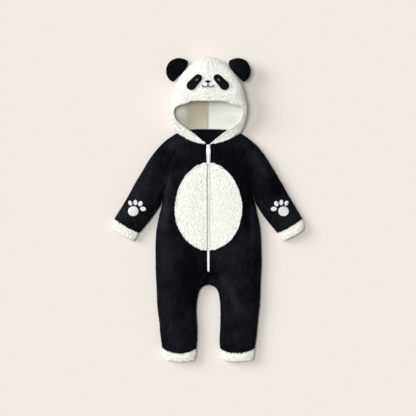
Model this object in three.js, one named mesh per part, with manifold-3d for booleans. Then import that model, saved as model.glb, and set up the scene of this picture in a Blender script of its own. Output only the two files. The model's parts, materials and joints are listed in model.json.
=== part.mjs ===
// A baby's hooded panda jumpsuit, laid on its back on a flat surface and still softly filled out.
// Millimetres. +Z is up from the surface, +Y runs from the feet to the hood, and +X is the
// wearer's left. Every cloth piece is a wall swept over a grid of its own surface points.

import * as THREE from "three";
import Module from "manifold-3d";
import { mergeVertices } from "three/addons/utils/BufferGeometryUtils.js";

// ---- driving sizes -------------------------------------------------------------------------

const PLUSH = 2.2; // black short-pile plush with its knitted back
const FLEECE = 4; // white curly fleece: hood, belly and cuffs
const LINING = 1.5; // smooth white lining of the hood
const PATCH = 1.4; // embroidered or sewn-on motif
const SEAM = 0.3; // clear space between pieces sewn to each other
const LIFT = 0.6; // clear space under what is laid on a curved panel
const SIDE_Z = 14; // height of the side, underarm and inside-leg seams
const HEM_FLAT = 0.6; // how flat a sagging hem is along its middle: 1 is a plain arc, less is flatter
const STITCHED = 0.1; // extra clear space where a sleeve's bent edge follows the raglan seam

const ZIP = { top: 150.5, bottom: -168, chain: 3.4, chainThick: 1.6, chainDrop: 0.4, tapeTop: 160.5,
  tapeBottom: -170, tapeFrom: 2, tapeReach: 12, tapeThick: 0.6, tapeDrop: 3.2 };
const SLIDER = { y: 157, length: 11, width: 9, tail: 6, thick: 3, sink: 1.4, shoulder: 0.2, nose: 0.8,
  bailLength: 8.4, bailRise: 4, bailWall: 1.3, bailWide: 2.2, bailSink: 0.5 };
const PULL = { length: 23, width: 10.5, thick: 1.5, bar: 0.7, eyeWide: 4.6, eyeLong: 4.4, eyeWall: 1.2,
  taper: 3, corner: 3, forward: 0.4, clear: 1.5, rise: 5 };
// The belly's first and last rows stop a little short of the ends of its oval.
const BELLY = { y: 1.3, halfWide: 88, halfLong: 114, egg: 0.06, rows: 9, columns: 6, short: 0.45,
  lift: 1, inner: 5.6 };
// rings are the ear's rings of points from its middle to its rim, and set is how far that middle
// lies from its seam towards the middle of its round.
const EAR = { x: 77, y: 353.9, radius: 32.8, z: 40, thick: 15, rim: 4, headY: 290, clear: 1.2,
  arcSteps: 16, rings: [0.4, 0.72, 0.92, 1], set: 0.8 };
const PAW = { padRadius: 13.8, padSquash: 0.93, padSides: 14, toeSides: 10 };

// ---- cutting tables ------------------------------------------------------------------------

/** Rows of numbers under named columns. */
const table = (names, rows) => rows.map((row) => Object.fromEntries(names.map((name, k) => [name, row[k]])));

// The neck seam, from the centre back round the shoulder fold to the centre front.
const NECK = table(["x", "y", "z"], [
  [0.15, 203, 0],
  [42, 202, 0],
  [72, 197.5, 4],
  [83.5, 191.2, 13],
  [74, 185.5, 23],
  [48, 171.6, 27.5],
  [25, 165, 28.2],
  [5.2, 162.6, 27.6],
]);

// The places along the neck seam, counted in the rows above, where it bends: the hood has one column
// of points at each, and the body's panels lie on the straight stretches between them.
const NECK_KNOTS = [0, 0.7, 1.4, 2, 2.5, 3, 3.5, 4, 4.75, 5.5, 6.25, 7];

// The raglan seam down to the armpit, on the front and on the back of the garment.
const RAGLAN = table(["y", "x", "frontZ", "backZ"], [
  [139, 94, 29, 0],
  [94, 102, 29.5, 0],
  [52, 110.5, 26.5, 0],
  [28, 116.5, 22, 3],
  [10.7, 120.3, SIDE_Z, SIDE_Z],
]);

// Front half: one row across the panel from the zip or inside leg to the side. peak is where the
// crest lies between the two edges, the rounds say how fully each edge rolls over, and sag is how
// far the middle of the row hangs below the straight line.
const FRONT = table(["inX", "inY", "inZ", "inRound", "peak", "crest", "outX", "outY", "outRound", "sag"], [
  [5.2, 139, 30.2, 1.2, 0.4, 32, 94, 139, 1.4, 0],
  [4.4, 94, 33, 1.2, 0.4, 35, 102, 94, 1.5, 0],
  [4, 52, 34.5, 1.2, 0.35, 36, 110.5, 52, 1.6, 0],
  [4, 28, 34.5, 1.2, 0.35, 36, 116.5, 28, 1.8, 0],
  [4, 10, 34.5, 1.2, 0.35, 36, 120.3, 10.7, 2.3, 0],
  [4, -16, 34.5, 1.2, 0.35, 36, 126.5, -16, 2.3, 0],
  [4, -47, 34.5, 1.2, 0.35, 36, 134, -47, 2.3, 0],
  [3.8, -83, 34.5, 1.2, 0.35, 36, 137, -83, 2.3, 0],
  [3.4, -120, 34, 1.2, 0.4, 36, 138, -122, 2.3, 0],
  [3, -148, 32.5, 1.2, 0.45, 35.5, 137.5, -152, 2.3, 0],
  [2.8, -169, 29, 1.3, 0.48, 34.5, 136.8, -177, 2.3, 0],
  [0.4, -186, 23, 1.6, 0.5, 34, 136, -195, 2.3, 0],
  [0.6, -201.5, SIDE_Z, 2.1, 0.5, 33, 135, -211, 2.3, 0],
  [15, -205.4, SIDE_Z, 2.2, 0.5, 33, 134.2, -224, 2.3, 0],
  [25, -216.4, SIDE_Z, 2.3, 0.5, 33, 133.4, -238, 2.3, 0],
  [30.5, -241.8, SIDE_Z, 2.3, 0.5, 33, 132.4, -256, 2.3, 0],
  [31.5, -277, SIDE_Z, 2.3, 0.5, 32.5, 130.2, -284, 2.3, 0],
  [28.8, -322, SIDE_Z, 2.3, 0.5, 32, 126.2, -322, 2.3, 0],
  [29.5, -366, SIDE_Z, 2.3, 0.5, 32, 121, -364.5, 2.3, 15],
]);

// Back half: it lies flat, and lifts only at the seams that meet the front. inLift and outLift are
// the heights of its two edges.
const BACK = table(["inX", "inY", "inLift", "outX", "outY", "outLift", "sag"], [
  [0.15, 139, 0, 94, 139, 0, 0],
  [0.15, 94, 0, 102, 94, 0, 0],
  [0.15, 52, 0, 110.5, 52, 0, 0],
  [0.15, 28, 0, 116.5, 28, 3, 0],
  [0.15, 10, 0, 120.3, 10.7, SIDE_Z, 0],
  [0.15, -47, 0, 134, -47, SIDE_Z, 0],
  [0.15, -120, 0, 138, -122, SIDE_Z, 0],
  [0.15, -177, 0, 136.8, -177, SIDE_Z, 0],
  [0.4, -193, 4, 136, -197, SIDE_Z, 0],
  [0.6, -201.5, SIDE_Z, 135, -211, SIDE_Z, 0],
  [15, -205.4, SIDE_Z, 134.2, -224, SIDE_Z, 0],
  [25, -216.4, SIDE_Z, 133.4, -238, SIDE_Z, 0],
  [31.2, -250, SIDE_Z, 132, -262, SIDE_Z, 0],
  [30.6, -300, SIDE_Z, 128.3, -303, SIDE_Z, 0],
  [29.5, -366, SIDE_Z, 121, -364.5, SIDE_Z, 15],
]);

// Raglan sleeve: one row round the tube at each place down the arm. The first five rows start on
// the raglan seam and the rest on the underarm seam.
const SLEEVE = table(["inX", "inY", "outX", "outY", "crest", "inRound", "sag"], [
  [94, 139, 120, 168.8, 31, 1.4, 0],
  [102, 94, 150.5, 131, 33, 1.5, 0],
  [110.5, 52, 173, 94, 32.5, 1.6, 0],
  [116.5, 28, 186, 72, 31.5, 1.9, 0],
  [120.3, 10.7, 198.4, 49.7, 30.5, 2.3, 0],
  [133.2, -8.8, 210.5, 27.2, 29, 2.3, 0],
  [146.4, -28.3, 221.6, 6.6, 28, 2.3, 0],
  [163, -48, 233.3, -12.4, 27.5, 2.3, 1.5],
  [179.7, -67.3, 244.7, -30.2, 27.5, 2.3, 3],
]);

// Cuffs: in and out are the two edges of each ring, from the hem seam to the open end.
const SLEEVE_CUFF = table(["inX", "inY", "outX", "outY", "crest", "sag"], [
  [179.9, -67.7, 244.9, -30.6, 27.5, 3],
  [183.5, -80, 252, -43, 30, 5],
  [192, -88, 250.5, -55, 26, 3],
]);
const LEG_CUFF = table(["inX", "inY", "outX", "outY", "crest", "sag"], [
  [29.7, -367, 120.8, -365.6, 32, 15],
  [29.2, -382, 122.5, -381, 33, 12],
  [33, -395, 118, -394, 29, 6.5],
]);

// Hood half: each row runs from the centre seam (c) over the side (s) to the edge of the face
// opening (e). The rows start behind the neck and end at the brow.
const HOOD = table(["cY", "cZ", "sX", "sY", "sZ", "eX", "eY", "eZ", "turn"], [
  [222, 0, 93, 207, 20, 26, 180.5, 31, 2.1],
  [250, 0, 98.5, 226, 27, 53, 199.5, 37, 2.1],
  [292, 0, 101, 244, 34, 72, 211.5, 43, 2.1],
  [340, 3, 101.5, 255, 40, 85.5, 226, 49, 2.05],
  [376, 12, 101.5, 260, 44, 89.8, 238, 54, 1.86],
  [394, 30, 100.6, 262, 48, 90.5, 245.5, 57, 1.8],
  [390, 52, 97.5, 265, 54, 90, 250.5, 59, 1.82],
  [371, 68, 93.5, 267, 60, 88.5, 254.5, 61.5, 1.86],
  [341, 77, 87, 269, 65, 86, 259, 63.5, 1.92],
  [308, 78.5, 77, 272, 68.5, 81, 264.5, 65.5, 1.96],
  [276.5, 75, 45, 276, 73, 74, 269, 67.5, 1.9],
]);

const EAR_RIB = 6; // the hood row that its ears are sewn along

// Face motifs, placed on the brow in plan.
const EYE = { high: [25, 334.4], low: [43.2, 315], highRadius: 10.2, lowRadius: 12.2, arcSteps: 6,
  rings: 3, lift: 1.6 };
const GLINT = { x: 28.4, y: 329.8, length: 8, width: 4.6, turn: -40, sides: 8, thick: 0.6, lift: 0.35 };
const NOSE = { y: 324.4, halfWide: 7.2, height: 6.4, bulge: 0.2, brow: 0.75, curveSteps: 4, middle: 0.6 };
const MOUTH = { y: 316.9, dip: 5.6, halfWide: 15.8, line: 2.4, stemTop: 319, stemFoot: 0.6, steps: 8 };
const FACE_X = -1.5;
const BROW_SEAM = 0.5; // nearest to the centre seam that the brow's height is read

// Paw print on each sleeve: the pad and four toes, out from the wearer's left sleeve. turn is the
// lean of the toe in degrees.
const PAW_PAD = { x: 195.3, y: -10.9 };
const PAW_TOES = table(["x", "y", "halfWide", "halfLong", "turn"], [
  [203, 10, 4.9, 7, -24],
  [189.6, 11.6, 5.4, 7.2, -4],
  [176.6, 8.6, 5.8, 7.2, 22],
  [170, -5, 8, 6, 8],
]);

// ---- finishes ------------------------------------------------------------------------------

const finish = (color, roughness, metalness = 0) =>
  new THREE.MeshStandardMaterial({ color, roughness, metalness });
const BLACK_PLUSH = finish(0x15161c, 0.95);
const WHITE_FLEECE = finish(0xf2f0ea, 0.95);
const WHITE_LINING = finish(0xf4f2ec, 0.85);
const WHITE_THREAD = finish(0xf3f2ef, 0.6);
const BLACK_THREAD = finish(0x18181c, 0.6);
const ZIP_TAPE = finish(0xe4e6ea, 0.8);
const ZIP_WHITE = finish(0xe6e7ea, 0.35);

// ---- surfaces ------------------------------------------------------------------------------

const wasm = await Module();
wasm.setup();

/** A quarter round from 0 to 1: straight at power 1, fuller as the power grows. */
const roll = (q, power) => (1 - (1 - Math.min(Math.max(q, 0), 1)) ** power) ** (1 / power);

/** Evenly turned steps from 0 to 1, closer together at both ends. */
const roundSteps = (count) =>
  Array.from({ length: count + 1 }, (_, k) => (1 - Math.cos((Math.PI * k) / count)) / 2);

/** Plan place at t along a row, hung below its straight line by the row's sag. */
function planPlace(row, t) {
  const across = new THREE.Vector2(row.outX - row.inX, row.outY - row.inY);
  const drop = row.sag * Math.sin(Math.PI * t) ** HEM_FLAT;
  const down = new THREE.Vector2(across.y, -across.x).setLength(drop || 0);
  return new THREE.Vector3(row.inX + across.x * t + down.x, row.inY + across.y * t + down.y, 0);
}

/** Height of an upper cloth at t along a row that rises from both its edges to a crest. */
function upperZ(t, inZ, inRound, peak, crest, outZ, outRound) {
  if (t < peak) return inZ + (crest - inZ) * roll(t / peak, inRound);
  return outZ + (crest - outZ) * roll((1 - t) / (1 - peak), outRound);
}

/** Height of the cloth underneath, which lies flat and rounds up to its edges. */
function lowerZ(t, inLift, outLift, edge = 0.16) {
  const rise = (q) => 1 - Math.sqrt(1 - Math.min(Math.max(1 - q / edge, 0), 1) ** 2);
  return inLift * rise(t) + outLift * rise(1 - t);
}

/** The neck seam as short straight stretches, which the hood and the body both follow. */
const neckLine = (() => {
  const curve = new THREE.CatmullRomCurve3(NECK.map((p) => new THREE.Vector3(p.x, p.y, p.z)));
  return NECK_KNOTS.map((knot) => {
    const place = curve.getPoint(knot / (NECK.length - 1));
    return place.set(Math.max(place.x, SEAM / 2), place.y, Math.max(place.z, 0));
  });
})();

/** Places along the neck seam between two of its named points. */
function neckPlaces(from, to, steps) {
  return steps.map((t) => {
    const knot = from + (to - from) * t;
    const k = Math.max(NECK_KNOTS.findIndex((end) => end >= knot), 1);
    const part = (knot - NECK_KNOTS[k - 1]) / (NECK_KNOTS[k] - NECK_KNOTS[k - 1]);
    return neckLine[k - 1].clone().lerp(neckLine[k], part);
  });
}

/** Direction of a row of points at one of them, from its neighbours. */
function slope(points, k, wraps) {
  const n = points.length;
  if (wraps) return points[(k + 1) % n].clone().sub(points[(k + n - 1) % n]);
  return points[Math.min(k + 1, n - 1)].clone().sub(points[Math.max(k - 1, 0)]);
}

/** Adds four-sided faces to a list of triangles. */
const quadsInto = (index) => (a, b, c, d) => index.push(a, b, c, a, c, d);

/**
 * One closed wall of cloth over a grid of surface points.
 * face is the depth of its outer side below the grid and depth that of its inner side. edges
 * names, for each side of the grid, the axis that the cut edge stands square to, or gives it by row.
 */
function clothWall(rows, face, depth, { wraps = false, edges = {} } = {}) {
  const last = rows.length - 1;
  const width = rows[0].length;
  const square = (normal, edge, i) => {
    const axis = typeof edge === "function" ? edge(i) : edge;
    if (axis) normal[axis] = 0;
    return normal.normalize();
  };
  const normals = rows.map((row, i) => row.map((_, j) => {
    const across = slope(row, j, wraps);
    const along = slope(rows.map((r) => r[j]), i, false);
    const normal = across.cross(along).normalize();
    if (i === 0) square(normal, edges.first, i);
    if (i === last) square(normal, edges.last, i);
    if (!wraps && j === 0) square(normal, edges.inner, i);
    if (!wraps && j === width - 1) square(normal, edges.outer, i);
    return normal;
  }));
  const positions = [];
  for (const below of [face, depth]) {
    rows.forEach((row, i) => row.forEach((point, j) => {
      positions.push(...point.clone().addScaledVector(normals[i][j], below).toArray());
    }));
  }
  const index = [];
  const inside = rows.length * width;
  const at = (i, j) => i * width + (j % width);
  const quad = quadsInto(index);
  const columns = wraps ? width : width - 1;
  for (let i = 0; i < last; i += 1) {
    for (let j = 0; j < columns; j += 1) {
      const [a, b, c, d] = [at(i, j), at(i, j + 1), at(i + 1, j + 1), at(i + 1, j)];
      quad(a, d, c, b);
      quad(a + inside, b + inside, c + inside, d + inside);
    }
  }
  for (let j = 0; j < columns; j += 1) {
    quad(at(0, j), at(0, j + 1), at(0, j + 1) + inside, at(0, j) + inside);
    quad(at(last, j + 1), at(last, j), at(last, j) + inside, at(last, j + 1) + inside);
  }
  if (!wraps) {
    for (let i = 0; i < last; i += 1) {
      const [a, b] = [at(i, width - 1), at(i + 1, width - 1)];
      quad(at(i + 1, 0), at(i, 0), at(i, 0) + inside, at(i + 1, 0) + inside);
      quad(a, b, b + inside, a + inside);
    }
  }
  return solid(positions, index);
}

/** A geometry from points and triangles. */
function solid(positions, index) {
  const geometry = new THREE.BufferGeometry();
  geometry.setAttribute("position", new THREE.Float32BufferAttribute(positions, 3));
  geometry.setIndex(index);
  return geometry;
}

/** A bar of rectangular section: rows hold the two upper points of each of its sections. */
function strip(rows, thick) {
  const positions = [0, thick].flatMap((drop) => rows.flat().flatMap((p) => [p.x, p.y, p.z - drop]));
  const inside = rows.length * 2;
  const index = [];
  const quad = quadsInto(index);
  for (let k = 0; k < rows.length - 1; k += 1) {
    const [a, b, c, d] = [2 * k, 2 * k + 1, 2 * k + 3, 2 * k + 2];
    quad(a, d, c, b);
    quad(a + inside, b + inside, c + inside, d + inside);
    quad(a, a + inside, d + inside, d);
    quad(b, c, c + inside, b + inside);
  }
  const end = 2 * (rows.length - 1);
  quad(0, 1, 1 + inside, inside);
  quad(end, end + inside, end + 1 + inside, end + 1);
  return solid(positions, index);
}

/** The same piece for the other side of the body. */
function mirrored(geometry) {
  const copy = geometry.clone().applyMatrix4(new THREE.Matrix4().makeScale(-1, 1, 1));
  const turned = Array.from(copy.index.array);
  for (let k = 0; k < turned.length; k += 3) [turned[k], turned[k + 1]] = [turned[k + 1], turned[k]];
  copy.setIndex(turned);
  return copy;
}

/** Height of a piece's upper side at a place in plan. */
function topOf(geometry) {
  const mesh = new THREE.Mesh(geometry, new THREE.MeshBasicMaterial({ side: THREE.DoubleSide }));
  const ray = new THREE.Raycaster();
  const down = new THREE.Vector3(0, 0, -1);
  return (x, y) => {
    ray.set(new THREE.Vector3(x, y, 300), down);
    const hit = ray.intersectObject(mesh)[0];
    return hit ? hit.point.z : null;
  };
}

/**
 * A flat motif laid on a surface: rings of points from its middle to its outline, each put on the
 * surface below it and lifted clear.
 */
function laidPatch(outline, centre, zAt, { rings = 2, thick = PATCH, lift = LIFT } = {}) {
  const sides = outline.length;
  const plan = [centre.clone()];
  for (let ring = 1; ring <= rings; ring += 1) {
    outline.forEach((edge) => plan.push(centre.clone().lerp(edge, ring / rings)));
  }
  const fallback = zAt(centre.x, centre.y);
  const ground = plan.map((p) => zAt(p.x, p.y) ?? fallback);
  const raised = (up) => plan.flatMap((p, k) => [p.x, p.y, ground[k] + up]);
  return disc([...raised(lift + thick), ...raised(lift)], sides, rings);
}

/** A closed disc of rings round a middle point: the upper side's points, then the lower side's. */
function disc(positions, sides, rings) {
  const under = 1 + rings * sides;
  const at = (ring, k) => 1 + (ring - 1) * sides + (k % sides);
  const index = [];
  const both = (a, b, c) => index.push(a, b, c, a + under, c + under, b + under);
  for (let k = 0; k < sides; k += 1) {
    both(0, at(1, k), at(1, k + 1));
    for (let ring = 1; ring < rings; ring += 1) {
      both(at(ring, k), at(ring + 1, k), at(ring + 1, k + 1));
      both(at(ring, k), at(ring + 1, k + 1), at(ring, k + 1));
    }
    const [a, b] = [at(rings, k), at(rings, k + 1)];
    index.push(b, a, a + under, b, a + under, b + under);
  }
  return solid(positions, index);
}

/** Outline of an ellipse in plan, turned by some degrees. */
function ellipse(x, y, halfWide, halfLong, sides, turn = 0) {
  const lean = THREE.MathUtils.degToRad(turn);
  const curve = new THREE.EllipseCurve(x, y, halfWide, halfLong, 0, 2 * Math.PI, false, lean);
  return curve.getPoints(sides).slice(0, sides);
}

/** Outline of a drop with round ends between two places in plan, each end with its own radius. */
function drop(from, to, fromRadius, toRadius, arcSteps) {
  const lean = to.clone().sub(from).angle();
  const halfTurn = (middle, radius, start) => Array.from({ length: arcSteps + 1 }, (_, k) => {
    const angle = start + (Math.PI * k) / arcSteps;
    return new THREE.Vector2(middle.x + radius * Math.cos(angle), middle.y + radius * Math.sin(angle));
  });
  return [...halfTurn(to, toRadius, lean - Math.PI / 2), ...halfTurn(from, fromRadius, lean + Math.PI / 2)];
}

/** A ribbon of even width laid on a surface along a plan curve. */
function laidRibbon(places, width, zAt, { thick = PATCH, lift = LIFT } = {}) {
  const rows = places.map((place, k) => {
    const before = places[Math.max(k - 1, 0)];
    const after = places[Math.min(k + 1, places.length - 1)];
    const side = after.clone().sub(before).normalize();
    return [-1, 1].map((way) => {
      const x = place.x - (side.y * width * way) / 2;
      const y = place.y + (side.x * width * way) / 2;
      return new THREE.Vector3(x, y, zAt(place.x, place.y) + lift + thick);
    });
  });
  return strip(rows, thick);
}

/** A three.js geometry as a manifold solid. */
function toManifold(geometry) {
  const bare = geometry.index ? geometry.toNonIndexed() : geometry.clone();
  bare.deleteAttribute("normal");
  bare.deleteAttribute("uv");
  const merged = mergeVertices(bare, 1e-4);
  return new wasm.Manifold(new wasm.Mesh({
    numProp: 3,
    vertProperties: new Float32Array(merged.attributes.position.array),
    triVerts: new Uint32Array(merged.index.array),
  }));
}

/** A manifold solid back as a three.js geometry. */
function fromManifold(body) {
  const mesh = body.getMesh();
  return solid(Array.from(mesh.vertProperties), Array.from(mesh.triVerts));
}

// ---- garment pieces ------------------------------------------------------------------------

/** Which way the raglan and side edges are cut square, by the row. */
function raglanCut(i) {
  if (i === 0) return "x";
  return i >= RAGLAN.length ? "z" : null;
}

/** Front half with its leg, open along the zip. */
function frontPanel() {
  const steps = roundSteps(9);
  const neck = neckPlaces(7, 4, steps);
  const rows = FRONT.map((row, k) => {
    const outZ = RAGLAN[k]?.frontZ ?? SIDE_Z;
    return steps.map((t) => {
      const place = planPlace(row, t);
      place.z = upperZ(t, row.inZ, row.inRound, row.peak, row.crest, outZ, row.outRound);
      return place;
    });
  });
  const legStart = FRONT.findIndex((row) => row.inZ === SIDE_Z) + 1;
  openSeams(rows, legStart, 1);
  return clothWall([neck, ...rows], 0, PLUSH, {
    edges: { first: "y", last: "y", inner: (i) => (i >= legStart ? "z" : null), outer: raglanCut },
  });
}

/** Back half with its leg, flat on the surface. */
function backPanel() {
  const steps = roundSteps(7);
  const neck = neckPlaces(0, 2, steps);
  const rows = BACK.map((row) => steps.map((t) => {
    const place = planPlace(row, t);
    place.z = lowerZ(t, row.inLift, row.outLift);
    return place;
  }));
  const legStart = BACK.findIndex((row) => row.inLift === SIDE_Z) + 1;
  openSeams(rows, legStart, -1);
  const across = [neck, ...rows].map((row) => [...row].reverse());
  return clothWall(across, 0, PLUSH, {
    edges: { first: "y", last: "y", outer: (i) => (i >= legStart ? "z" : null), inner: raglanCut },
  });
}

/** Keeps a panel clear of the other one along the side seam and the inside-leg seam. */
function openSeams(rows, legStart, way) {
  rows.forEach((row, i) => {
    if (i + 1 >= RAGLAN.length) row[row.length - 1].z += (way * SEAM) / 2;
    if (i + 1 >= legStart) row[0].z += (way * SEAM) / 2;
  });
}

/** Rings of a tube: over the top from the inner edge to the fold, and back underneath. */
function tubeRow(row, steps, topZ, lowZ, underSteps = steps) {
  const over = steps.map((t) => {
    const place = planPlace(row, t);
    place.z = topZ(t);
    return place;
  });
  const under = [...underSteps].reverse().slice(1).map((t) => {
    const place = planPlace(row, t);
    place.z = lowZ(t);
    return place;
  });
  return [...over, ...under];
}

/** Raglan sleeve: one sheet folded round the arm, closed along the underarm. */
function sleeve() {
  const steps = roundSteps(7);
  const fold = SIDE_Z - 1;
  const neckOver = neckPlaces(4, 3, steps);
  const neckUnder = neckPlaces(3, 2, steps).slice(1);
  const rows = SLEEVE.map((row, k) => {
    const front = RAGLAN[k]?.frontZ ?? SIDE_Z;
    const back = RAGLAN[k]?.backZ ?? SIDE_Z;
    return tubeRow(row, steps,
      (t) => upperZ(t, front, row.inRound, 0.5, row.crest, fold, 2.3),
      (t) => lowerZ(t, back, fold, 0.24));
  });
  const grid = [[...neckOver, ...neckUnder], ...rows];
  grid.forEach((row, i) => {
    const ends = [row[0], row[row.length - 1]];
    if (i <= RAGLAN.length) ends.forEach((end) => { end.x += SEAM + STITCHED; });
    if (i >= RAGLAN.length) {
      ends[0].z += SEAM / 2;
      ends[1].z -= SEAM / 2;
    }
  });
  return clothWall(grid, 0, PLUSH,
    { edges: { first: "y", inner: raglanCut, outer: raglanCut } });
}

/** A cuff: a ring of fleece round the end of a tube, open at its end. */
function cuff(rows, fold, over, under, edge, first) {
  const rings = rows.map((row) => tubeRow(row, roundSteps(over),
    (t) => upperZ(t, SIDE_Z, 2.3, 0.5, row.crest, fold, 2.3),
    (t) => lowerZ(t, SIDE_Z, fold, edge), roundSteps(under)).slice(0, -1));
  return clothWall(rings, 0, FLEECE, { wraps: true, edges: { first } });
}

/** Grid of half the hood, from the centre seam to the face opening. */
function hoodGrid() {
  const quarters = (count) => Array.from({ length: count + 1 }, (_, k) => (k / count) * (Math.PI / 2));
  const fold = NECK_KNOTS.indexOf(3);
  const neck = neckLine.map((place) => place.clone().add(new THREE.Vector3(0, SEAM + 0.2, 0)));
  const rows = HOOD.map((row) => {
    const ease = 2 / row.turn;
    const centre = new THREE.Vector3(SEAM / 2, row.cY, row.cZ);
    const side = new THREE.Vector3(row.sX, row.sY, row.sZ);
    const edge = new THREE.Vector3(row.eX, row.eY, row.eZ);
    const quarter = (from, to, firstX, a) => {
      const quick = Math.sin(a) ** ease;
      const slow = 1 - Math.cos(a) ** ease;
      const [forX, forRest] = firstX ? [quick, slow] : [slow, quick];
      return new THREE.Vector3(from.x + (to.x - from.x) * forX, from.y + (to.y - from.y) * forRest,
        from.z + (to.z - from.z) * forRest);
    };
    return [...quarters(fold).map((a) => quarter(centre, side, true, a)),
      ...quarters(NECK_KNOTS.length - 1 - fold).slice(1).map((a) => quarter(side, edge, false, a))];
  });
  return [neck, ...rows];
}

/** Half of the hood's outer shell or of its lining, by the depths of its two sides. */
function hoodHalf(grid, face, depth) {
  return clothWall(grid, face, depth, { edges: { first: "y", inner: "x" } });
}

/** Ear: a padded round, flattened where it is sewn along the side of the hood. */
function ear(sideRib) {
  const middle = new THREE.Vector2(EAR.x, EAR.y);
  const rib = sideRib.map((p) => new THREE.Vector2(p.x, p.y)).reverse();
  const seam = rib.flatMap((p, k) => (k ? [rib[k - 1].clone().lerp(p, 0.5), p] : [p]))
    .map((p) => p.clone().add(p.clone().sub(new THREE.Vector2(0, EAR.headY)).setLength(EAR.clear)))
    .filter((p) => p.distanceTo(middle) < EAR.radius - 1);
  const [from, to] = [seam[0], seam[seam.length - 1]];
  const startAngle = from.clone().sub(middle).angle() - 2 * Math.PI;
  const endAngle = to.clone().sub(middle).angle();
  const arc = Array.from({ length: EAR.arcSteps - 1 }, (_, k) => {
    const angle = startAngle + ((endAngle - startAngle) * (k + 1)) / EAR.arcSteps;
    return new THREE.Vector2(Math.cos(angle), Math.sin(angle)).multiplyScalar(EAR.radius).add(middle);
  });
  const outline = [...arc, ...seam.reverse()];
  const centre = from.clone().lerp(to, 0.5).lerp(middle, EAR.set);
  const positions = [];
  for (const way of [1, -1]) {
    positions.push(centre.x, centre.y, EAR.z + (way * EAR.thick) / 2);
    EAR.rings.forEach((ring) => outline.forEach((edge) => {
      const place = centre.clone().lerp(edge, ring);
      const half = EAR.rim / 2 + ((EAR.thick - EAR.rim) / 2) * Math.sqrt(1 - ring * ring);
      positions.push(place.x, place.y, EAR.z + way * half);
    }));
  }
  return disc(positions, outline.length, EAR.rings.length);
}

/** Half of the white belly, from the zip to its oval edge. */
function bellyHalf(zAt) {
  const rows = Array.from({ length: BELLY.rows }, (_, i) => {
    const turn = (Math.PI * (i + BELLY.short)) / (BELLY.rows - 1 + 2 * BELLY.short);
    const y = BELLY.y + BELLY.halfLong * Math.cos(turn);
    const wide = BELLY.halfWide * Math.sin(turn) * (1 - BELLY.egg * Math.cos(turn));
    return Array.from({ length: BELLY.columns + 1 }, (_, j) => {
      const x = BELLY.inner + (wide - BELLY.inner) * Math.sin((Math.PI / 2) * (j / BELLY.columns));
      return new THREE.Vector3(x, y, zAt(x, y) + BELLY.lift + FLEECE);
    });
  });
  return clothWall(rows, 0, FLEECE, { edges: { inner: "x" } });
}

/** The zip's height under the crown of the front at a place down its length. */
function zipHeights() {
  const neck = NECK[NECK.length - 1];
  const rows = [{ inY: neck.y, inZ: neck.z }, ...FRONT];
  return (y) => {
    const k = Math.max(rows.findIndex((row) => row.inY <= y), 1);
    const [a, b] = [rows[k - 1], rows[k]];
    return a.inZ + ((b.inZ - a.inZ) * (a.inY - y)) / (a.inY - b.inY);
  };
}

/** A bar of rectangular section that follows the zip. */
function zipStrip(fromX, toX, top, bottom, drop, thick) {
  const zAt = zipHeights();
  const places = [top, ...FRONT.map((row) => row.inY).filter((y) => y < top && y > bottom), bottom];
  const rows = places.map((y) => [fromX, toX].map((x) => new THREE.Vector3(x, y, zAt(y) - drop)));
  return strip(rows, thick);
}

/** Slider: a tapered body with a bail over it for the pull. */
function slider(baseZ) {
  const outline = new THREE.Shape();
  const [half, wide, tail] = [SLIDER.length / 2, SLIDER.width / 2, SLIDER.tail / 2];
  const [shoulder, nose] = [half * SLIDER.shoulder, wide * SLIDER.nose];
  outline.moveTo(-tail, -half).lineTo(tail, -half).lineTo(wide, shoulder).lineTo(nose, half);
  outline.lineTo(-nose, half).lineTo(-wide, shoulder).closePath();
  const body = new THREE.ExtrudeGeometry(outline, { depth: SLIDER.thick, bevelEnabled: false });
  body.translate(0, SLIDER.y, baseZ);
  const arch = (shape, reach, rise, foot, spring) => {
    const top = reach * 0.6;
    shape.moveTo(-reach, foot).lineTo(reach, foot).lineTo(reach, rise * spring).lineTo(top, rise);
    shape.lineTo(-top, rise).lineTo(-reach, rise * spring).closePath();
    return shape;
  };
  const [reach, wall] = [SLIDER.bailLength / 2, SLIDER.bailWall];
  const bow = arch(new THREE.Shape(), reach, SLIDER.bailRise, -SLIDER.bailSink, 0.55);
  bow.holes.push(arch(new THREE.Path(), reach - wall, SLIDER.bailRise - wall, 0, 0.7));
  const bail = new THREE.ExtrudeGeometry(bow, { depth: SLIDER.bailWide, bevelEnabled: false });
  bail.rotateX(Math.PI / 2).rotateZ(Math.PI / 2);
  bail.translate(-SLIDER.bailWide / 2, SLIDER.y, baseZ + SLIDER.thick);
  return fromManifold(toManifold(body).add(toManifold(bail)));
}

/** Pull tab: a long flat tab with an eye, hung on a bar through the bail. */
function pullTab(axisY, axisZ) {
  const outline = new THREE.Shape();
  const [wide, eye, top] = [PULL.width / 2, PULL.eyeWide / 2, PULL.bar];
  const neck = eye + PULL.eyeWall;
  const neckEnd = top - PULL.eyeLong - 1;
  const shoulder = neckEnd - PULL.taper;
  const end = top - PULL.length;
  const corner = [[wide, end + PULL.corner], [wide - PULL.corner, end]];
  const side = [[neck, top], [neck, neckEnd], [wide, shoulder], ...corner];
  const across = (way) => side.map(([x, y]) => new THREE.Vector2(way * x, y));
  outline.setFromPoints([...across(-1), ...across(1).reverse()]);
  const hole = new THREE.Path();
  hole.moveTo(-eye, -PULL.bar).lineTo(-eye, -PULL.bar - PULL.eyeLong);
  hole.lineTo(eye, -PULL.bar - PULL.eyeLong).lineTo(eye, -PULL.bar).closePath();
  outline.holes.push(hole);
  const tab = new THREE.ExtrudeGeometry(outline, { depth: PULL.thick, bevelEnabled: false });
  tab.translate(0, 0, -PULL.thick / 2).rotateX(-THREE.MathUtils.degToRad(PULL.rise));
  return tab.translate(0, axisY, axisZ);
}

// ---- assembly ------------------------------------------------------------------------------

const group = new THREE.Group();

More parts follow.
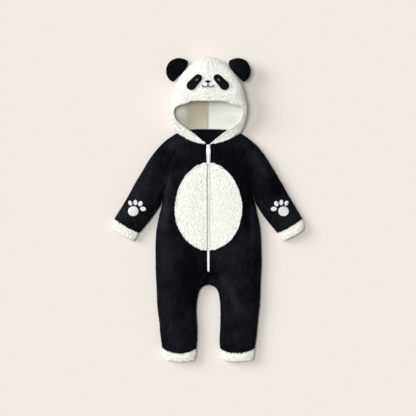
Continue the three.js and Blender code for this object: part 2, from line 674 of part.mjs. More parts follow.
/** Adds one named piece. */
function add(name, geometry, material) {
  const mesh = new THREE.Mesh(geometry, material);
  mesh.name = name;
  group.add(mesh);
}

/** Adds a piece for the wearer's left and its mirror image for the right. */
function addPair(name, geometry, material) {
  add(`${name}_left`, geometry, material);
  add(`${name}_right`, mirrored(geometry), material);
}

const front = frontPanel();
const sleeveLeft = sleeve();
const hood = hoodGrid();
const hoodOuter = hoodHalf(hood, 0, FLEECE);
const onFront = topOf(front);
const onSleeve = topOf(sleeveLeft);
const onBrowHalf = topOf(hoodOuter);
const onBrow = (x, y) => onBrowHalf(Math.max(Math.abs(x), BROW_SEAM), y);

addPair("front", front, BLACK_PLUSH);
addPair("back", backPanel(), BLACK_PLUSH);
addPair("sleeve", sleeveLeft, BLACK_PLUSH);
addPair("sleeve_cuff", cuff(SLEEVE_CUFF, SIDE_Z - 1, 7, 7, 0.24), WHITE_FLEECE);
addPair("leg_cuff", cuff(LEG_CUFF, SIDE_Z, 9, 7, 0.16, "y"), WHITE_FLEECE);
addPair("hood", hoodOuter, WHITE_FLEECE);
addPair("hood_lining", hoodHalf(hood, FLEECE + SEAM, FLEECE + SEAM + LINING), WHITE_LINING);
addPair("ear", ear(hood[EAR_RIB].slice(0, NECK_KNOTS.indexOf(3) + 1)), BLACK_PLUSH);
addPair("belly", bellyHalf(onFront), WHITE_FLEECE);

const zipZ = zipHeights();
const tape = zipStrip(ZIP.tapeFrom, ZIP.tapeReach, ZIP.tapeTop, ZIP.tapeBottom, ZIP.tapeDrop, ZIP.tapeThick);
addPair("zip_tape", tape, ZIP_TAPE);
const chainEdge = ZIP.chain / 2;
const chain = zipStrip(-chainEdge, chainEdge, ZIP.top, ZIP.bottom, ZIP.chainDrop, ZIP.chainThick);
add("zip_chain", chain, ZIP_WHITE);
const sliderZ = zipZ(SLIDER.y) - SLIDER.sink;
add("zip_slider", slider(sliderZ), ZIP_WHITE);
add("zip_pull", pullTab(SLIDER.y + PULL.forward, sliderZ + SLIDER.thick + PULL.clear), ZIP_WHITE);

for (const [name, side] of [["left", 1], ["right", -1]]) {
  const placeOf = ([x, y]) => new THREE.Vector2(FACE_X + side * x, y);
  const [high, low] = [placeOf(EYE.high), placeOf(EYE.low)];
  const patch = drop(high, low, EYE.highRadius, EYE.lowRadius, EYE.arcSteps);
  const eye = laidPatch(patch, high.clone().lerp(low, 0.5), onBrow, { rings: EYE.rings, lift: EYE.lift });
  add(`eye_patch_${name}`, eye, BLACK_THREAD);
  const glintAt = placeOf([GLINT.x, GLINT.y]);
  const [halfLong, halfWide] = [GLINT.length / 2, GLINT.width / 2];
  const glint = ellipse(glintAt.x, glintAt.y, halfLong, halfWide, GLINT.sides, side * GLINT.turn);
  const thread = laidPatch(glint, glintAt, topOf(eye), { rings: 1, thick: GLINT.thick, lift: GLINT.lift });
  add(`eye_glint_${name}`, thread, WHITE_THREAD);
}

const noseShape = new THREE.Shape();
const [noseLeft, noseRight] = [FACE_X - NOSE.halfWide, FACE_X + NOSE.halfWide];
const [noseTop, noseTip] = [NOSE.y + NOSE.height / 2, NOSE.y - NOSE.height / 2];
const noseBulge = NOSE.y - NOSE.height * NOSE.bulge;
noseShape.moveTo(noseLeft, noseTop);
noseShape.quadraticCurveTo(noseLeft, noseBulge, FACE_X, noseTip);
noseShape.quadraticCurveTo(noseRight, noseBulge, noseRight, noseTop);
noseShape.quadraticCurveTo(FACE_X, NOSE.y + NOSE.height * NOSE.brow, noseLeft, noseTop);
const nose = noseShape.getPoints(NOSE.curveSteps).slice(0, -1);
add("nose", laidPatch(nose, new THREE.Vector2(FACE_X, NOSE.y + NOSE.middle), onBrow), BLACK_THREAD);

const smile = Array.from({ length: 2 * MOUTH.steps + 1 }, (_, k) => {
  const across = k / MOUTH.steps - 1;
  const lobe = 2 * Math.abs(across) - 1;
  const dip = MOUTH.dip * Math.sqrt(1 - lobe * lobe);
  return new THREE.Vector2(FACE_X + across * MOUTH.halfWide, MOUTH.y - dip);
});
const stem = [MOUTH.stemTop, MOUTH.y - MOUTH.stemFoot].map((y) => new THREE.Vector2(FACE_X, y));
const mouthLine = (places) => toManifold(laidRibbon(places, MOUTH.line, onBrow));
add("mouth", fromManifold(mouthLine(smile).add(mouthLine(stem))), BLACK_THREAD);

const padAt = new THREE.Vector2(PAW_PAD.x, PAW_PAD.y);
const pad = ellipse(padAt.x, padAt.y, PAW.padRadius, PAW.padRadius * PAW.padSquash, PAW.padSides);
addPair("paw_pad", laidPatch(pad, padAt, onSleeve), WHITE_THREAD);
PAW_TOES.forEach((toe, k) => {
  const outline = ellipse(toe.x, toe.y, toe.halfWide, toe.halfLong, PAW.toeSides, toe.turn);
  const patch = laidPatch(outline, new THREE.Vector2(toe.x, toe.y), onSleeve, { rings: 1 });
  add(`paw_toe_left_${k + 1}`, patch, WHITE_THREAD);
  add(`paw_toe_right_${k + 1}`, mirrored(patch), WHITE_THREAD);
});

// The origin is the middle of the underside of the garment's box.
const box = new THREE.Box3().setFromObject(group);
const middle = box.getCenter(new THREE.Vector3());
group.position.set(-middle.x, -middle.y, 0);

export default group;
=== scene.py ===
"""A baby's hooded panda jumpsuit, zipped shut and laid on its back: cloth, pile, fleece and trims."""

from __future__ import annotations

import json
import logging
import math
from collections.abc import Callable, Iterator
from contextlib import contextmanager
from dataclasses import dataclass, field
from enum import Enum

import bpy
import numpy as np
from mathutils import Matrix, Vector
from mathutils.bvhtree import BVHTree

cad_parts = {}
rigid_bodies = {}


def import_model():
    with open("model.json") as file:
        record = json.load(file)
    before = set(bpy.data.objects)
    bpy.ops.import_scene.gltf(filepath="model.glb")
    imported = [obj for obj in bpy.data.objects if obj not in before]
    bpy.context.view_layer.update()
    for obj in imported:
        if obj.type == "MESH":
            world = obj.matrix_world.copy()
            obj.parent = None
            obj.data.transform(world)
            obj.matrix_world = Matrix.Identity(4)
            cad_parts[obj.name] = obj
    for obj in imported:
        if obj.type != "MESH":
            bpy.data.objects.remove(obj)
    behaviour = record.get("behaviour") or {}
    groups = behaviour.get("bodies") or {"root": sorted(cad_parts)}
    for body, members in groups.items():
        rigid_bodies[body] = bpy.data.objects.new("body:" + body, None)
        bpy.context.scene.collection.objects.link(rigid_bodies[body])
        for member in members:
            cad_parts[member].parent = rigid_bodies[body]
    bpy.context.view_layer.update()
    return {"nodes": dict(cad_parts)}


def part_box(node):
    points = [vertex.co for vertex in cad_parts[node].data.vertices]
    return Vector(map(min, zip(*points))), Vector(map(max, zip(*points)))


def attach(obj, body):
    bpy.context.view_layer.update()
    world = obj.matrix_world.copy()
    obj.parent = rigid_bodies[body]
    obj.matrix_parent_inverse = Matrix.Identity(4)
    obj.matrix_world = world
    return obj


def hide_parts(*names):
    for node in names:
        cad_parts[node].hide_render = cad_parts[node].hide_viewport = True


MM = 0.001
GARMENT = "garment"
# the stored painted sheen and shade of each vertex
PAINTED_SHEEN = "painted_sheen_tone"
SIDES = ("left", "right")
LOG = logging.getLogger("jumpsuit")

Points = np.ndarray
Plan = tuple[float, float]


class Nap(Enum):
    """Which way a cloth's pile was brushed, as a direction in plan."""

    DOWN = (0.0, -1.0)
    DOWN_LEFT_ARM = (0.5, -0.87)
    DOWN_RIGHT_ARM = (-0.5, -0.87)


# ---- the worktable ---------------------------------------------------------------------------


class Bench:
    """Selecting, editing and finishing of meshes."""

    @staticmethod
    def only(piece: bpy.types.Object) -> None:
        """Selects one piece and nothing else."""
        bpy.ops.object.select_all(action="DESELECT")
        piece.select_set(True)
        bpy.context.view_layer.objects.active = piece

    @staticmethod
    @contextmanager
    def editing(piece: bpy.types.Object) -> Iterator[None]:
        """Edit mode on one piece, with all of its mesh selected."""
        Bench.only(piece)
        bpy.ops.object.mode_set(mode="EDIT")
        bpy.ops.mesh.select_all(action="SELECT")
        try:
            yield
        finally:
            bpy.ops.object.mode_set(mode="OBJECT")

    @staticmethod
    def apply(piece: bpy.types.Object, kind: str, **settings: object) -> None:
        """Adds a modifier with these settings and applies it."""
        Bench.only(piece)
        modifier = piece.modifiers.new(kind.title(), kind)
        for name, value in settings.items():
            setattr(modifier, name, value)
        bpy.ops.object.modifier_apply(modifier=modifier.name)

    @staticmethod
    def to_quads() -> None:
        """Joins the selected triangles into quads, in edit mode."""
        bend = math.radians(60)
        bpy.ops.mesh.tris_convert_to_quads(face_threshold=bend, shape_threshold=bend)

    @staticmethod
    def round_edges(piece: bpy.types.Object, width: float, segments: int, sharper_than: float) -> None:
        """Bevels the edges that are sharper than an angle in degrees, by a width in millimetres."""
        Bench.apply(piece, "BEVEL", width=width * MM, segments=segments, limit_method="ANGLE",
                    angle_limit=math.radians(sharper_than))

    @staticmethod
    def points(piece: bpy.types.Object) -> Points:
        """The piece's vertices, in millimetres."""
        flat = np.empty(len(piece.data.vertices) * 3, np.float32)
        piece.data.vertices.foreach_get("co", flat)
        return flat.reshape(-1, 3).astype(float) / MM

    @staticmethod
    def put_points(piece: bpy.types.Object, points: Points) -> None:
        """Puts the vertices back, from millimetres."""
        piece.data.vertices.foreach_set("co", (points * MM).astype(np.float32).ravel())
        piece.data.update()

    @staticmethod
    def mesh_piece(name: str, points: Points, faces: Points, uvs: Points | None = None) -> bpy.types.Object:
        """A smooth-shaded piece from points in millimetres and an array of equal-sided faces.

        Args:
            name: the piece's name.
            points: one row for each vertex.
            faces: one row of vertex numbers for each face.
            uvs: a place on the bake sheet for each vertex, if the piece brings its own.

        Returns:
            The new object, linked to the scene.
        """
        mesh = bpy.data.meshes.new(name)
        sides = faces.shape[1]
        mesh.vertices.add(len(points))
        mesh.vertices.foreach_set("co", (points * MM).astype(np.float32).ravel())
        mesh.loops.add(faces.size)
        mesh.loops.foreach_set("vertex_index", faces.astype(np.int32).ravel())
        mesh.polygons.add(len(faces))
        mesh.polygons.foreach_set("loop_start", np.arange(0, faces.size, sides, dtype=np.int32))
        mesh.polygons.foreach_set("use_smooth", np.ones(len(faces), bool))
        mesh.update(calc_edges=True)
        if uvs is not None:
            layer = mesh.uv_layers.new(name="OFBake")
            layer.data.foreach_set("uv", uvs[faces.ravel()].astype(np.float32).ravel())
        piece = bpy.data.objects.new(name, mesh)
        bpy.context.scene.collection.objects.link(piece)
        return piece

    @staticmethod
    def paint_sheen(piece: bpy.types.Object, values: Points) -> None:
        """Stores the painted sheen and shade of the pile at each vertex."""
        layer = piece.data.attributes.new(PAINTED_SHEEN, "FLOAT", "POINT")
        layer.data.foreach_set("value", values.astype(np.float32))

    @staticmethod
    def tree(piece: bpy.types.Object) -> BVHTree:
        """The piece's surface for finding places on it, in millimetres."""
        corners = [Vector(c) for c in Bench.points(piece)]
        return BVHTree.FromPolygons(corners, [tuple(p.vertices) for p in piece.data.polygons])

    @staticmethod
    def smooth(piece: bpy.types.Object, sharper_than: float | None = None) -> None:
        """Shades the piece smooth, but for edges sharper than an angle in degrees if one is given."""
        Bench.only(piece)
        if sharper_than is None:
            bpy.ops.object.shade_smooth()
        else:
            bpy.ops.object.shade_smooth_by_angle(angle=math.radians(sharper_than))

    @staticmethod
    def top_at(tree: BVHTree, x: float, y: float) -> Vector | None:
        """The highest place of a surface over a spot in plan, found from above the garment."""
        return tree.ray_cast(Vector((x, y, 200.0)), Vector((0, 0, -1)))[0]

    @staticmethod
    def snug(piece: bpy.types.Object, neighbours: list[bpy.types.Object], reach: float = 1.2,
             pull: float = 1.05) -> None:
        """Draws the edge of a cloth up to the cloths it is sewn to, so that no light comes through."""
        points = Bench.points(piece)
        for neighbour in neighbours:
            tree = Bench.tree(neighbour)
            for k, point in enumerate(points):
                near = tree.find_nearest(Vector(point), reach)[0]
                if near is not None:
                    points[k] += pull * (np.array(near) - point)
        Bench.put_points(piece, points)

    @staticmethod
    def copy_of(node: bpy.types.Object, name: str) -> bpy.types.Object:
        """A working copy of a solid, with its loose triangles merged."""
        piece = bpy.data.objects.new(name, node.data.copy())
        bpy.context.scene.collection.objects.link(piece)
        with Bench.editing(piece):
            bpy.ops.mesh.remove_doubles(threshold=2e-5)
        return piece

    @staticmethod
    def wear(piece: bpy.types.Object, material: bpy.types.Material, slot: str, body: str = GARMENT) -> None:
        """Dresses a piece in its material and lets it ride on its body."""
        piece.data.materials.clear()
        piece.data.materials.append(material)
        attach(piece, body)


def smooth_step(low: float, high: float, value: Points) -> Points:
    """0 below low, 1 above high, and soft between."""
    t = np.clip((value - low) / (high - low), 0, 1)
    return t * t * (3 - 2 * t)


def cloud(points: Points, size: float, seed: int) -> Points:
    """Slow irregular waves from -1 to 1 over space, about size across."""
    rng = np.random.default_rng(seed)
    total = np.zeros(len(points))
    for _ in range(6):
        way = rng.normal(size=3)
        way *= rng.uniform(0.7, 1.5) / np.linalg.norm(way)
        total += np.sin(points @ way * (2 * math.pi / size) + rng.uniform(0, 2 * math.pi))
    return total / 3.2


# ---- shader maths ----------------------------------------------------------------------------


class Shade:
    """A value on its way through a material, so that shader maths reads as maths."""

    def __init__(self, tree: bpy.types.NodeTree, socket: bpy.types.NodeSocket) -> None:
        """Keeps the node tree and the output socket."""
        self.tree = tree
        self.socket = socket

    def _math(self, operation: str, first: object, second: object) -> Shade:
        """One Math node."""
        node = self.tree.nodes.new("ShaderNodeMath")
        node.operation = operation
        for entry, value in zip(node.inputs, (first, second)):
            if isinstance(value, Shade):
                self.tree.links.new(value.socket, entry)
            else:
                entry.default_value = value
        return Shade(self.tree, node.outputs[0])

    def __add__(self, other: object) -> Shade:
        """self + other."""
        return self._math("ADD", self, other)

    __radd__ = __add__

    def __sub__(self, other: object) -> Shade:
        """self - other."""
        return self._math("SUBTRACT", self, other)

    def __rsub__(self, other: object) -> Shade:
        """other - self."""
        return self._math("SUBTRACT", other, self)

    def __mul__(self, other: object) -> Shade:
        """self * other."""
        return self._math("MULTIPLY", self, other)

    __rmul__ = __mul__


@dataclass
class Dye:
    """A material being made: its node tree and its shader."""

    name: str
    material: bpy.types.Material = field(init=False)
    tree: bpy.types.NodeTree = field(init=False)
    shader: bpy.types.Node = field(init=False)

    def __post_init__(self) -> None:
        """Makes the empty material."""
        self.material = bpy.data.materials.new(self.name)
        self.material.use_nodes = True
        self.tree = self.material.node_tree
        self.shader = self.tree.nodes["Principled BSDF"]

    def node(self, kind: str, settings: dict[str, object] | None = None, output: int | str = 0,
             **inputs: object) -> Shade:
        """Adds a node of a kind, sets it, feeds its sockets and gives one output.

        Args:
            kind: the node's type without its ShaderNode prefix.
            settings: the node's own settings, such as an operation or a ramp's stops.
            output: which output is wanted.
            **inputs: a value or a Shade for each socket, by its name with _ for a space.

        Returns:
            The wanted output.
        """
        node = self.tree.nodes.new(f"ShaderNode{kind}")
        for name, value in (settings or {}).items():
            if name == "stops":
                self._ramp(node, value)
            else:
                setattr(node, name, value)
        for name, value in inputs.items():
            entry = self._entry(node, name.replace("_", " "))
            if isinstance(value, Shade):
                self.tree.links.new(value.socket, entry)
            else:
                entry.default_value = value
        return Shade(self.tree, node.outputs[output])

    @staticmethod
    def _entry(node: bpy.types.Node, name: str) -> bpy.types.NodeSocket:
        """The enabled input socket of that name."""
        return next(s for s in node.inputs if s.enabled and s.name == name)

    @staticmethod
    def _ramp(node: bpy.types.Node, stops: list[tuple[float, tuple[float, ...]]]) -> None:
        """Sets a ramp's stops."""
        elements = node.color_ramp.elements
        while len(elements) < len(stops):
            elements.new(0.5)
        for element, (place, colour) in zip(elements, stops):
            element.position = place
            element.color = (*colour, 1.0) if len(colour) == 3 else colour

    def place(self) -> Shade:
        """The object's own coordinates."""
        return self.node("TexCoord", output="Object")

    def noise(self, scale: float, detail: float = 2.0, roughness: float = 0.5,
              where: Shade | None = None) -> Shade:
        """A noise from 0 to 1."""
        return self.node("TexNoise", Vector=where or self.place(), Scale=scale, Detail=detail,
                         Roughness=roughness)

    def stretched(self, turn: float, scale: tuple[float, float, float]) -> Shade:
        """The object's coordinates, turned about Z and scaled."""
        return self.node("Mapping", Vector=self.place(), Rotation=(0.0, 0.0, turn), Scale=scale)

    def ramp(self, value: Shade, *stops: tuple[float, tuple[float, ...]]) -> Shade:
        """A colour ramp over a value."""
        return self.node("ValToRGB", {"stops": list(stops)}, Fac=value)

    def mix(self, share: Shade, first: object, second: object) -> Shade:
        """A blend of two colours."""
        return self.node("Mix", {"data_type": "RGBA"}, output=2, Factor=share, A=first, B=second)

    def bump(self, height: Shade, strength: float, distance: float, under: Shade | None = None) -> Shade:
        """A normal from a height."""
        feeds = {"Height": height, "Strength": strength, "Distance": distance}
        if under is not None:
            feeds["Normal"] = under
        return self.node("Bump", **feeds)

    def set(self, **sockets: object) -> None:
        """Sets or links the shader's own sockets."""
        for name, value in sockets.items():
            entry = self.shader.inputs[name.replace("_", " ")]
            if isinstance(value, Shade):
                self.tree.links.new(value.socket, entry)
            else:
                entry.default_value = value


# ---- finishes --------------------------------------------------------------------------------


@dataclass(frozen=True)
class BlackPlush:
    """Short brushed black pile: clouds where the nap lies another way, fine strands, and painted sheen and
    shade.
    """

    slot: str = "black_plush"
    deep: tuple[float, ...] = (0.0009, 0.0010, 0.0026)
    light: tuple[float, ...] = (0.0190, 0.0205, 0.0290)
    cloud_scale: float = 14.0
    strand_scale: float = 170.0

    def dye(self, name: str, pile: bool) -> bpy.types.Material:
        """The cloth under the pile, or the pile itself, which is a little lighter."""
        dye = Dye(name)
        clouds = dye.noise(self.cloud_scale, detail=3.0, roughness=0.5)
        strands = dye.noise(self.strand_scale, detail=3.0, where=dye.stretched(0.0, (1.0, 0.3, 1.0)))
        # painted sheen and shade, stored on each vertex, lightens and darkens the black
        nap = dye.node("Attribute", {"attribute_name": PAINTED_SHEEN}, output="Fac")
        share = clouds * 0.40 + strands * 0.42 + nap * 0.30
        low, high = (0.33, 0.74) if pile else (0.36, 0.78)
        dye.set(Base_Color=dye.ramp(share, (low, self.deep), (high, self.light)),
                Roughness=clouds * -0.25 + 0.82, Sheen_Weight=0.02, Sheen_Roughness=0.4,
                Sheen_Tint=(0.62, 0.66, 0.78, 1.0), Specular_IOR_Level=0.06)
        if not pile:
            dye.set(Normal=dye.bump(strands, 0.55, 0.0009, under=dye.bump(clouds, 0.35, 0.003)))
        return dye.material


@dataclass(frozen=True)
class WhiteFleece:
    """White curly fleece: small locks over a soft ground, creamier in the hollows."""

    slot: str = "white_fleece"
    hollow: tuple[float, ...] = (0.875, 0.87, 0.815)
    top: tuple[float, ...] = (0.91, 0.91, 0.87)
    lock_scale: float = 210.0

    def dye(self, name: str, pile: bool) -> bpy.types.Material:
        """The ground of the fleece, or its locks."""
        dye = Dye(name)
        locks = dye.noise(self.lock_scale, detail=3.0, roughness=0.6)
        drift = dye.noise(24.0, detail=2.0)
        share = locks * 0.65 + drift * 0.35
        low, high = (0.30, 0.58) if pile else (0.36, 0.70)
        dye.set(Base_Color=dye.ramp(share, (low, self.hollow), (high, self.top)), Roughness=0.92,
                Sheen_Weight=0.22, Sheen_Roughness=0.6, Sheen_Tint=(1.0, 0.98, 0.95, 1.0),
                Specular_IOR_Level=0.12)
        if not pile:
            dye.set(Normal=dye.bump(locks, 0.9, 0.0016))
        return dye.material


@dataclass(frozen=True)
class WhiteLining:
    """Smooth white brushed knit with fine ribs, and painted shade, darker and beige, in one band by the
    centre seam.
    """

    slot: str = "white_lining"
    shade: tuple[float, ...] = (0.74, 0.735, 0.70)
    face: tuple[float, ...] = (0.82, 0.82, 0.785)
    # painted shade: the darker, more beige colours of the band
    painted_shade_deep: tuple[float, ...] = (0.53, 0.485, 0.38)
    painted_shade_face: tuple[float, ...] = (0.61, 0.565, 0.455)
    painted_shade_band: tuple[float, float] = (-0.057, 0.0)
    painted_shade_edge: tuple[float, float] = (0.009, 0.004)
    painted_shade_beyond: float = 0.30

    def dye(self, name: str) -> bpy.types.Material:
        """The lining's material."""
        dye = Dye(name)
        ribs = dye.node("TexWave", {"bands_direction": "X"}, output=1, Vector=dye.place(), Scale=420.0,
                        Distortion=1.2, Detail=1.0)
        fuzz = dye.noise(340.0, detail=3.0)
        share = ribs * 0.35 + fuzz * 0.65
        across = dye.node("SeparateXYZ", Vector=dye.place()) + (dye.noise(30.0) - 0.5) * 0.004
        # painted shade over the band, soft at its outer edge, crisp at the seam, and partly beyond the band
        (low, high), (soft, crisp) = self.painted_shade_band, self.painted_shade_edge
        soften = {"interpolation_type": "SMOOTHSTEP"}
        inner = dye.node("MapRange", soften, Value=across, From_Min=high - crisp, From_Max=high + crisp,
                         To_Min=1.0, To_Max=0.0)
        outer = dye.node("MapRange", soften, Value=across, From_Min=low - soft, From_Max=low + soft,
                         To_Min=self.painted_shade_beyond, To_Max=1.0)
        bright = dye.ramp(share, (0.25, self.shade), (0.7, self.face))
        painted_shade = dye.ramp(share, (0.25, self.painted_shade_deep), (0.7, self.painted_shade_face))
        dye.set(Base_Color=dye.mix(inner * outer, bright, painted_shade), Roughness=0.9,
                Sheen_Weight=0.1, Sheen_Roughness=0.5, Specular_IOR_Level=0.15,
                Normal=dye.bump(share, 0.4, 0.0006))
        return dye.material


@dataclass(frozen=True)
class Thread:
    """Embroidery thread: satin, a little darker where strands lie deep."""

    slot: str
    deep: tuple[float, ...]
    face: tuple[float, ...]
    gleam: float = 0.4
    roughness: float = 0.5

    def dye(self, name: str) -> bpy.types.Material:
        """The thread's material."""
        dye = Dye(name)
        twist = dye.noise(900.0, detail=2.0)
        lay = dye.noise(60.0, detail=1.0)
        dye.set(Base_Color=dye.ramp(twist * 0.6 + lay * 0.4, (0.3, self.deep), (0.62, self.face)),
                Roughness=twist * 0.2 + (self.roughness - 0.1), Sheen_Weight=self.gleam / 4,
                Specular_IOR_Level=self.gleam, Normal=dye.bump(twist, 0.3, 0.0002))
        return dye.material


@dataclass(frozen=True)
class WovenTape:
    """The zip's woven tape: a fine herringbone of polyester yarns."""

    slot: str = "zip_tape_white"
    gap: tuple[float, ...] = (0.80, 0.80, 0.81)
    yarn: tuple[float, ...] = (0.95, 0.95, 0.95)

    def dye(self, name: str) -> bpy.types.Material:
        """The tape's material."""
        dye = Dye(name)
        across = dye.node("TexWave", {"bands_direction": "X"}, output=1, Vector=dye.place(), Scale=330.0)
        along = dye.node("TexWave", {"bands_direction": "Y"}, output=1, Vector=dye.place(), Scale=260.0,
                         Distortion=0.6)
        weave = across * 0.5 + along * 0.5
        dye.set(Base_Color=dye.ramp(weave, (0.2, self.gap), (0.6, self.yarn)), Roughness=0.85,
                Specular_IOR_Level=0.25, Normal=dye.bump(weave, 0.5, 0.0003))
        return dye.material


@dataclass(frozen=True)
class MouldedWhite:
    """Moulded plastic of the teeth, the slider and the pull."""

    slot: str = "zip_white"
    shade: tuple[float, ...] = (0.80, 0.81, 0.81)
    face: tuple[float, ...] = (0.94, 0.94, 0.93)

    def dye(self, name: str) -> bpy.types.Material:
        """The plastic's material."""
        dye = Dye(name)
        flow = dye.noise(140.0, detail=3.0)
        grain = dye.noise(1600.0, detail=1.0)
        dye.set(Base_Color=dye.ramp(flow, (0.3, self.shade), (0.6, self.face)),
                Roughness=flow * 0.2 + 0.25, Specular_IOR_Level=0.5, Coat_Weight=0.1, Coat_Roughness=0.3,
                Normal=dye.bump(grain, 0.08, 0.0001))
        return dye.material


# ---- folds and the lie of the cloth ------------------------------------------------------------


@dataclass(frozen=True)
class Fold:
    """A soft ridge, or a trough if its height is negative, along a bowed line in plan."""

    start: Plan
    end: Plan
    width: float
    height: float
    bow: float = 0.0

    def lift(self, plan: Points) -> Points:
        """How far the fold lifts each place, in millimetres."""
        start, end = np.array(self.start), np.array(self.end)
        along = end - start
        length = float(np.linalg.norm(along))
        along = along / length
        across = np.array((-along[1], along[0]))
        t = (plan - start) @ along / length
        away = (plan - start) @ across - self.bow * np.clip(4 * t * (1 - t), -1, 1)
        ends = smooth_step(-0.12, 0.22, t) * (1 - smooth_step(0.72, 1.12, t))
        return self.height * ends * np.exp(-((away / self.width) ** 2))


# Painted sheen and shade on the black pile: a place is painted lighter, as a sheen highlight where the
# pile leans towards the light, or, with a negative height, darker, as painted shade.
PAINTED_SHEEN_PATCHES = (
    Fold((-101, 98), (-112, -10), 10.0, 0.9, -3.0),
    Fold((-108, 10), (-119, -62), 17.0, 1.0, -3.0),
    Fold((-126, -60), (-112, -196), 20.0, 0.6, 4.0),
    Fold((-118, -212), (-104, -300), 26.0, 0.45),
    Fold((-96, -300), (-76, -372), 30.0, 0.4),
    # painted shade inside the back of the neck, under the hood's rim
    Fold((-20, 188), (20, 188), 15.0, -2.4),
    Fold((60, 150), (96, 40), 24.0, -0.7),
    Fold((104, 30), (110, -70), 20.0, -0.6),
    Fold((-146, 118), (-206, 14), 20.0, 0.65),
    Fold((-212, 4), (-236, -34), 18.0, 0.75),
    Fold((-74, 178), (-104, 154), 12.0, 0.8),
    Fold((36, -170), (76, -276), 11.0, 0.85, 4.0),
    Fold((70, -92), (46, -150), 34.0, 0.4),
    Fold((96, -240), (96, -350), 30.0, 0.3),
    Fold((112, 156), (148, 78), 12.0, 0.7, 2.0),
    Fold((176, 20), (222, -40), 26.0, 0.45),
    Fold((113, 10), (124, -84), 11.0, 0.6, 2.0),
    Fold((-40, 128), (-36, 60), 14.0, -0.25),
    Fold((34, 148), (44, 96), 16.0, -0.5),
    Fold((-30, -182), (30, -182), 10.0, -1.1, 14.0),
    Fold((-46, -150), (-40, -260), 17.0, -0.5),
    Fold((-112, 64), (-124, 8), 7.0, -0.8),
    Fold((112, 70), (122, 14), 8.0, -0.6),
    Fold((164, 84), (186, 34), 15.0, -0.4),
)


def painted_sheen_tone(places: Points) -> Points:
    """The painted sheen, and below 0 the painted shade, of the black pile at each place."""
    return sum((patch.lift(places[:, :2]) for patch in PAINTED_SHEEN_PATCHES), np.zeros(len(places)))


@dataclass(frozen=True)
class Lie:
    """How the laid cloth departs from its plain form: named folds, soft waves and drift."""

    folds: tuple[Fold, ...] = ()
    wave: float = 0.7
    wave_size: float = 75.0
    drift: float = 0.7
    floor_clear: tuple[float, float] = (9.0, 22.0)
    zip_clear: tuple[float, float] = (5.0, 16.0)

    def settle(self, points: Points) -> Points:
        """The points after the cloth has settled.

        Args:
            points: the cloth's points in millimetres.

        Returns:
            The settled points.
        """
        settled = points.copy()
        upper = smooth_step(*self.floor_clear, points[:, 2])
        beside_zip = smooth_step(*self.zip_clear, np.abs(points[:, 0]))
        lift = sum((fold.lift(points[:, :2]) for fold in self.folds), np.zeros(len(points)))
        lift += self.wave * cloud(points, self.wave_size, 5) + 0.35 * self.wave * cloud(points, 31.0, 6)
        settled[:, 2] += lift * upper * beside_zip
        settled[:, 0] += self.drift * cloud(points, 95.0, 7) * beside_zip
        settled[:, 1] += 0.6 * self.drift * cloud(points, 80.0, 8) * beside_zip
        return settled


# ---- cloth -------------------------------------------------------------------------------------


@dataclass
class Cloth:
    """One cut piece of cloth, made on the form of its solid.

    sink is how far its outer side lies under its pile. centre says how near the middle line, and up
    to what height along the body, its edge is drawn onto that line.
    """

    node: str
    levels: int
    lie: Lie
    bone: tuple[tuple[float, float, float], ...]
    sink: float = 0.0
    centre: tuple[float, float] | None = None
    piece: bpy.types.Object = field(init=False)

    def make(self, nodes: dict[str, bpy.types.Object]) -> bpy.types.Object:
        """Builds the thin shell: quads on the solid's form, subdivided, then settled."""
        self.piece = Bench.copy_of(nodes[self.node], f"{self.node}_cloth")
        with Bench.editing(self.piece):
            Bench.to_quads()
            bpy.ops.mesh.select_mode(type="EDGE")
            bpy.ops.mesh.select_all(action="DESELECT")
            bpy.ops.mesh.edges_select_sharp(sharpness=math.radians(52))
            bpy.ops.transform.edge_crease(value=0.9)
        Bench.apply(self.piece, "SUBSURF", levels=self.levels, render_levels=self.levels)
        Bench.smooth(self.piece)
        points = Bench.points(self.piece)
        if self.sink:
            flat = np.empty(len(points) * 3, np.float32)
            self.piece.data.vertices.foreach_get("normal", flat)
            normals = flat.reshape(-1, 3).astype(float)
            if self.centre:
                normals[np.abs(points[:, 0]) < 3.5 * self.centre[0], 0] = 0.0
                normals = unit(normals)
            points -= self.sink * normals * self.outer_faces(points, normals)[:, None]
        if self.centre:
            reach, top = self.centre
            seam = (np.abs(points[:, 0]) < reach) & (points[:, 1] < top)
            points[seam, 0] = 0.0
        settled = self.lie.settle(points)
        Bench.put_points(self.piece, settled)
        # the cloth carries the painted sheen and shade of its place
        Bench.paint_sheen(self.piece, painted_sheen_tone(settled))
        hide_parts(self.node)
        return self.piece

    def outer_faces(self, seed_points: Points, normals: Points) -> Points:
        """Which of these face middles lie on the outer side of the wall."""
        joints = np.array(self.bone, float)
        best = np.full(len(seed_points), np.inf)
        heart = np.zeros_like(seed_points)
        for start, end in zip(joints[:-1], joints[1:]):
            along = end - start
            t = np.clip((seed_points - start) @ along / (along @ along), 0, 1)
            near = start + t[:, None] * along
            gap = np.linalg.norm(seed_points - near, axis=1)
            closer = gap < best
            best[closer] = gap[closer]
            heart[closer] = near[closer]
        outward = (seed_points - heart) * np.array((1.0, 1.0, 4.0))
        return np.einsum("ij,ij->i", outward, normals) > 0


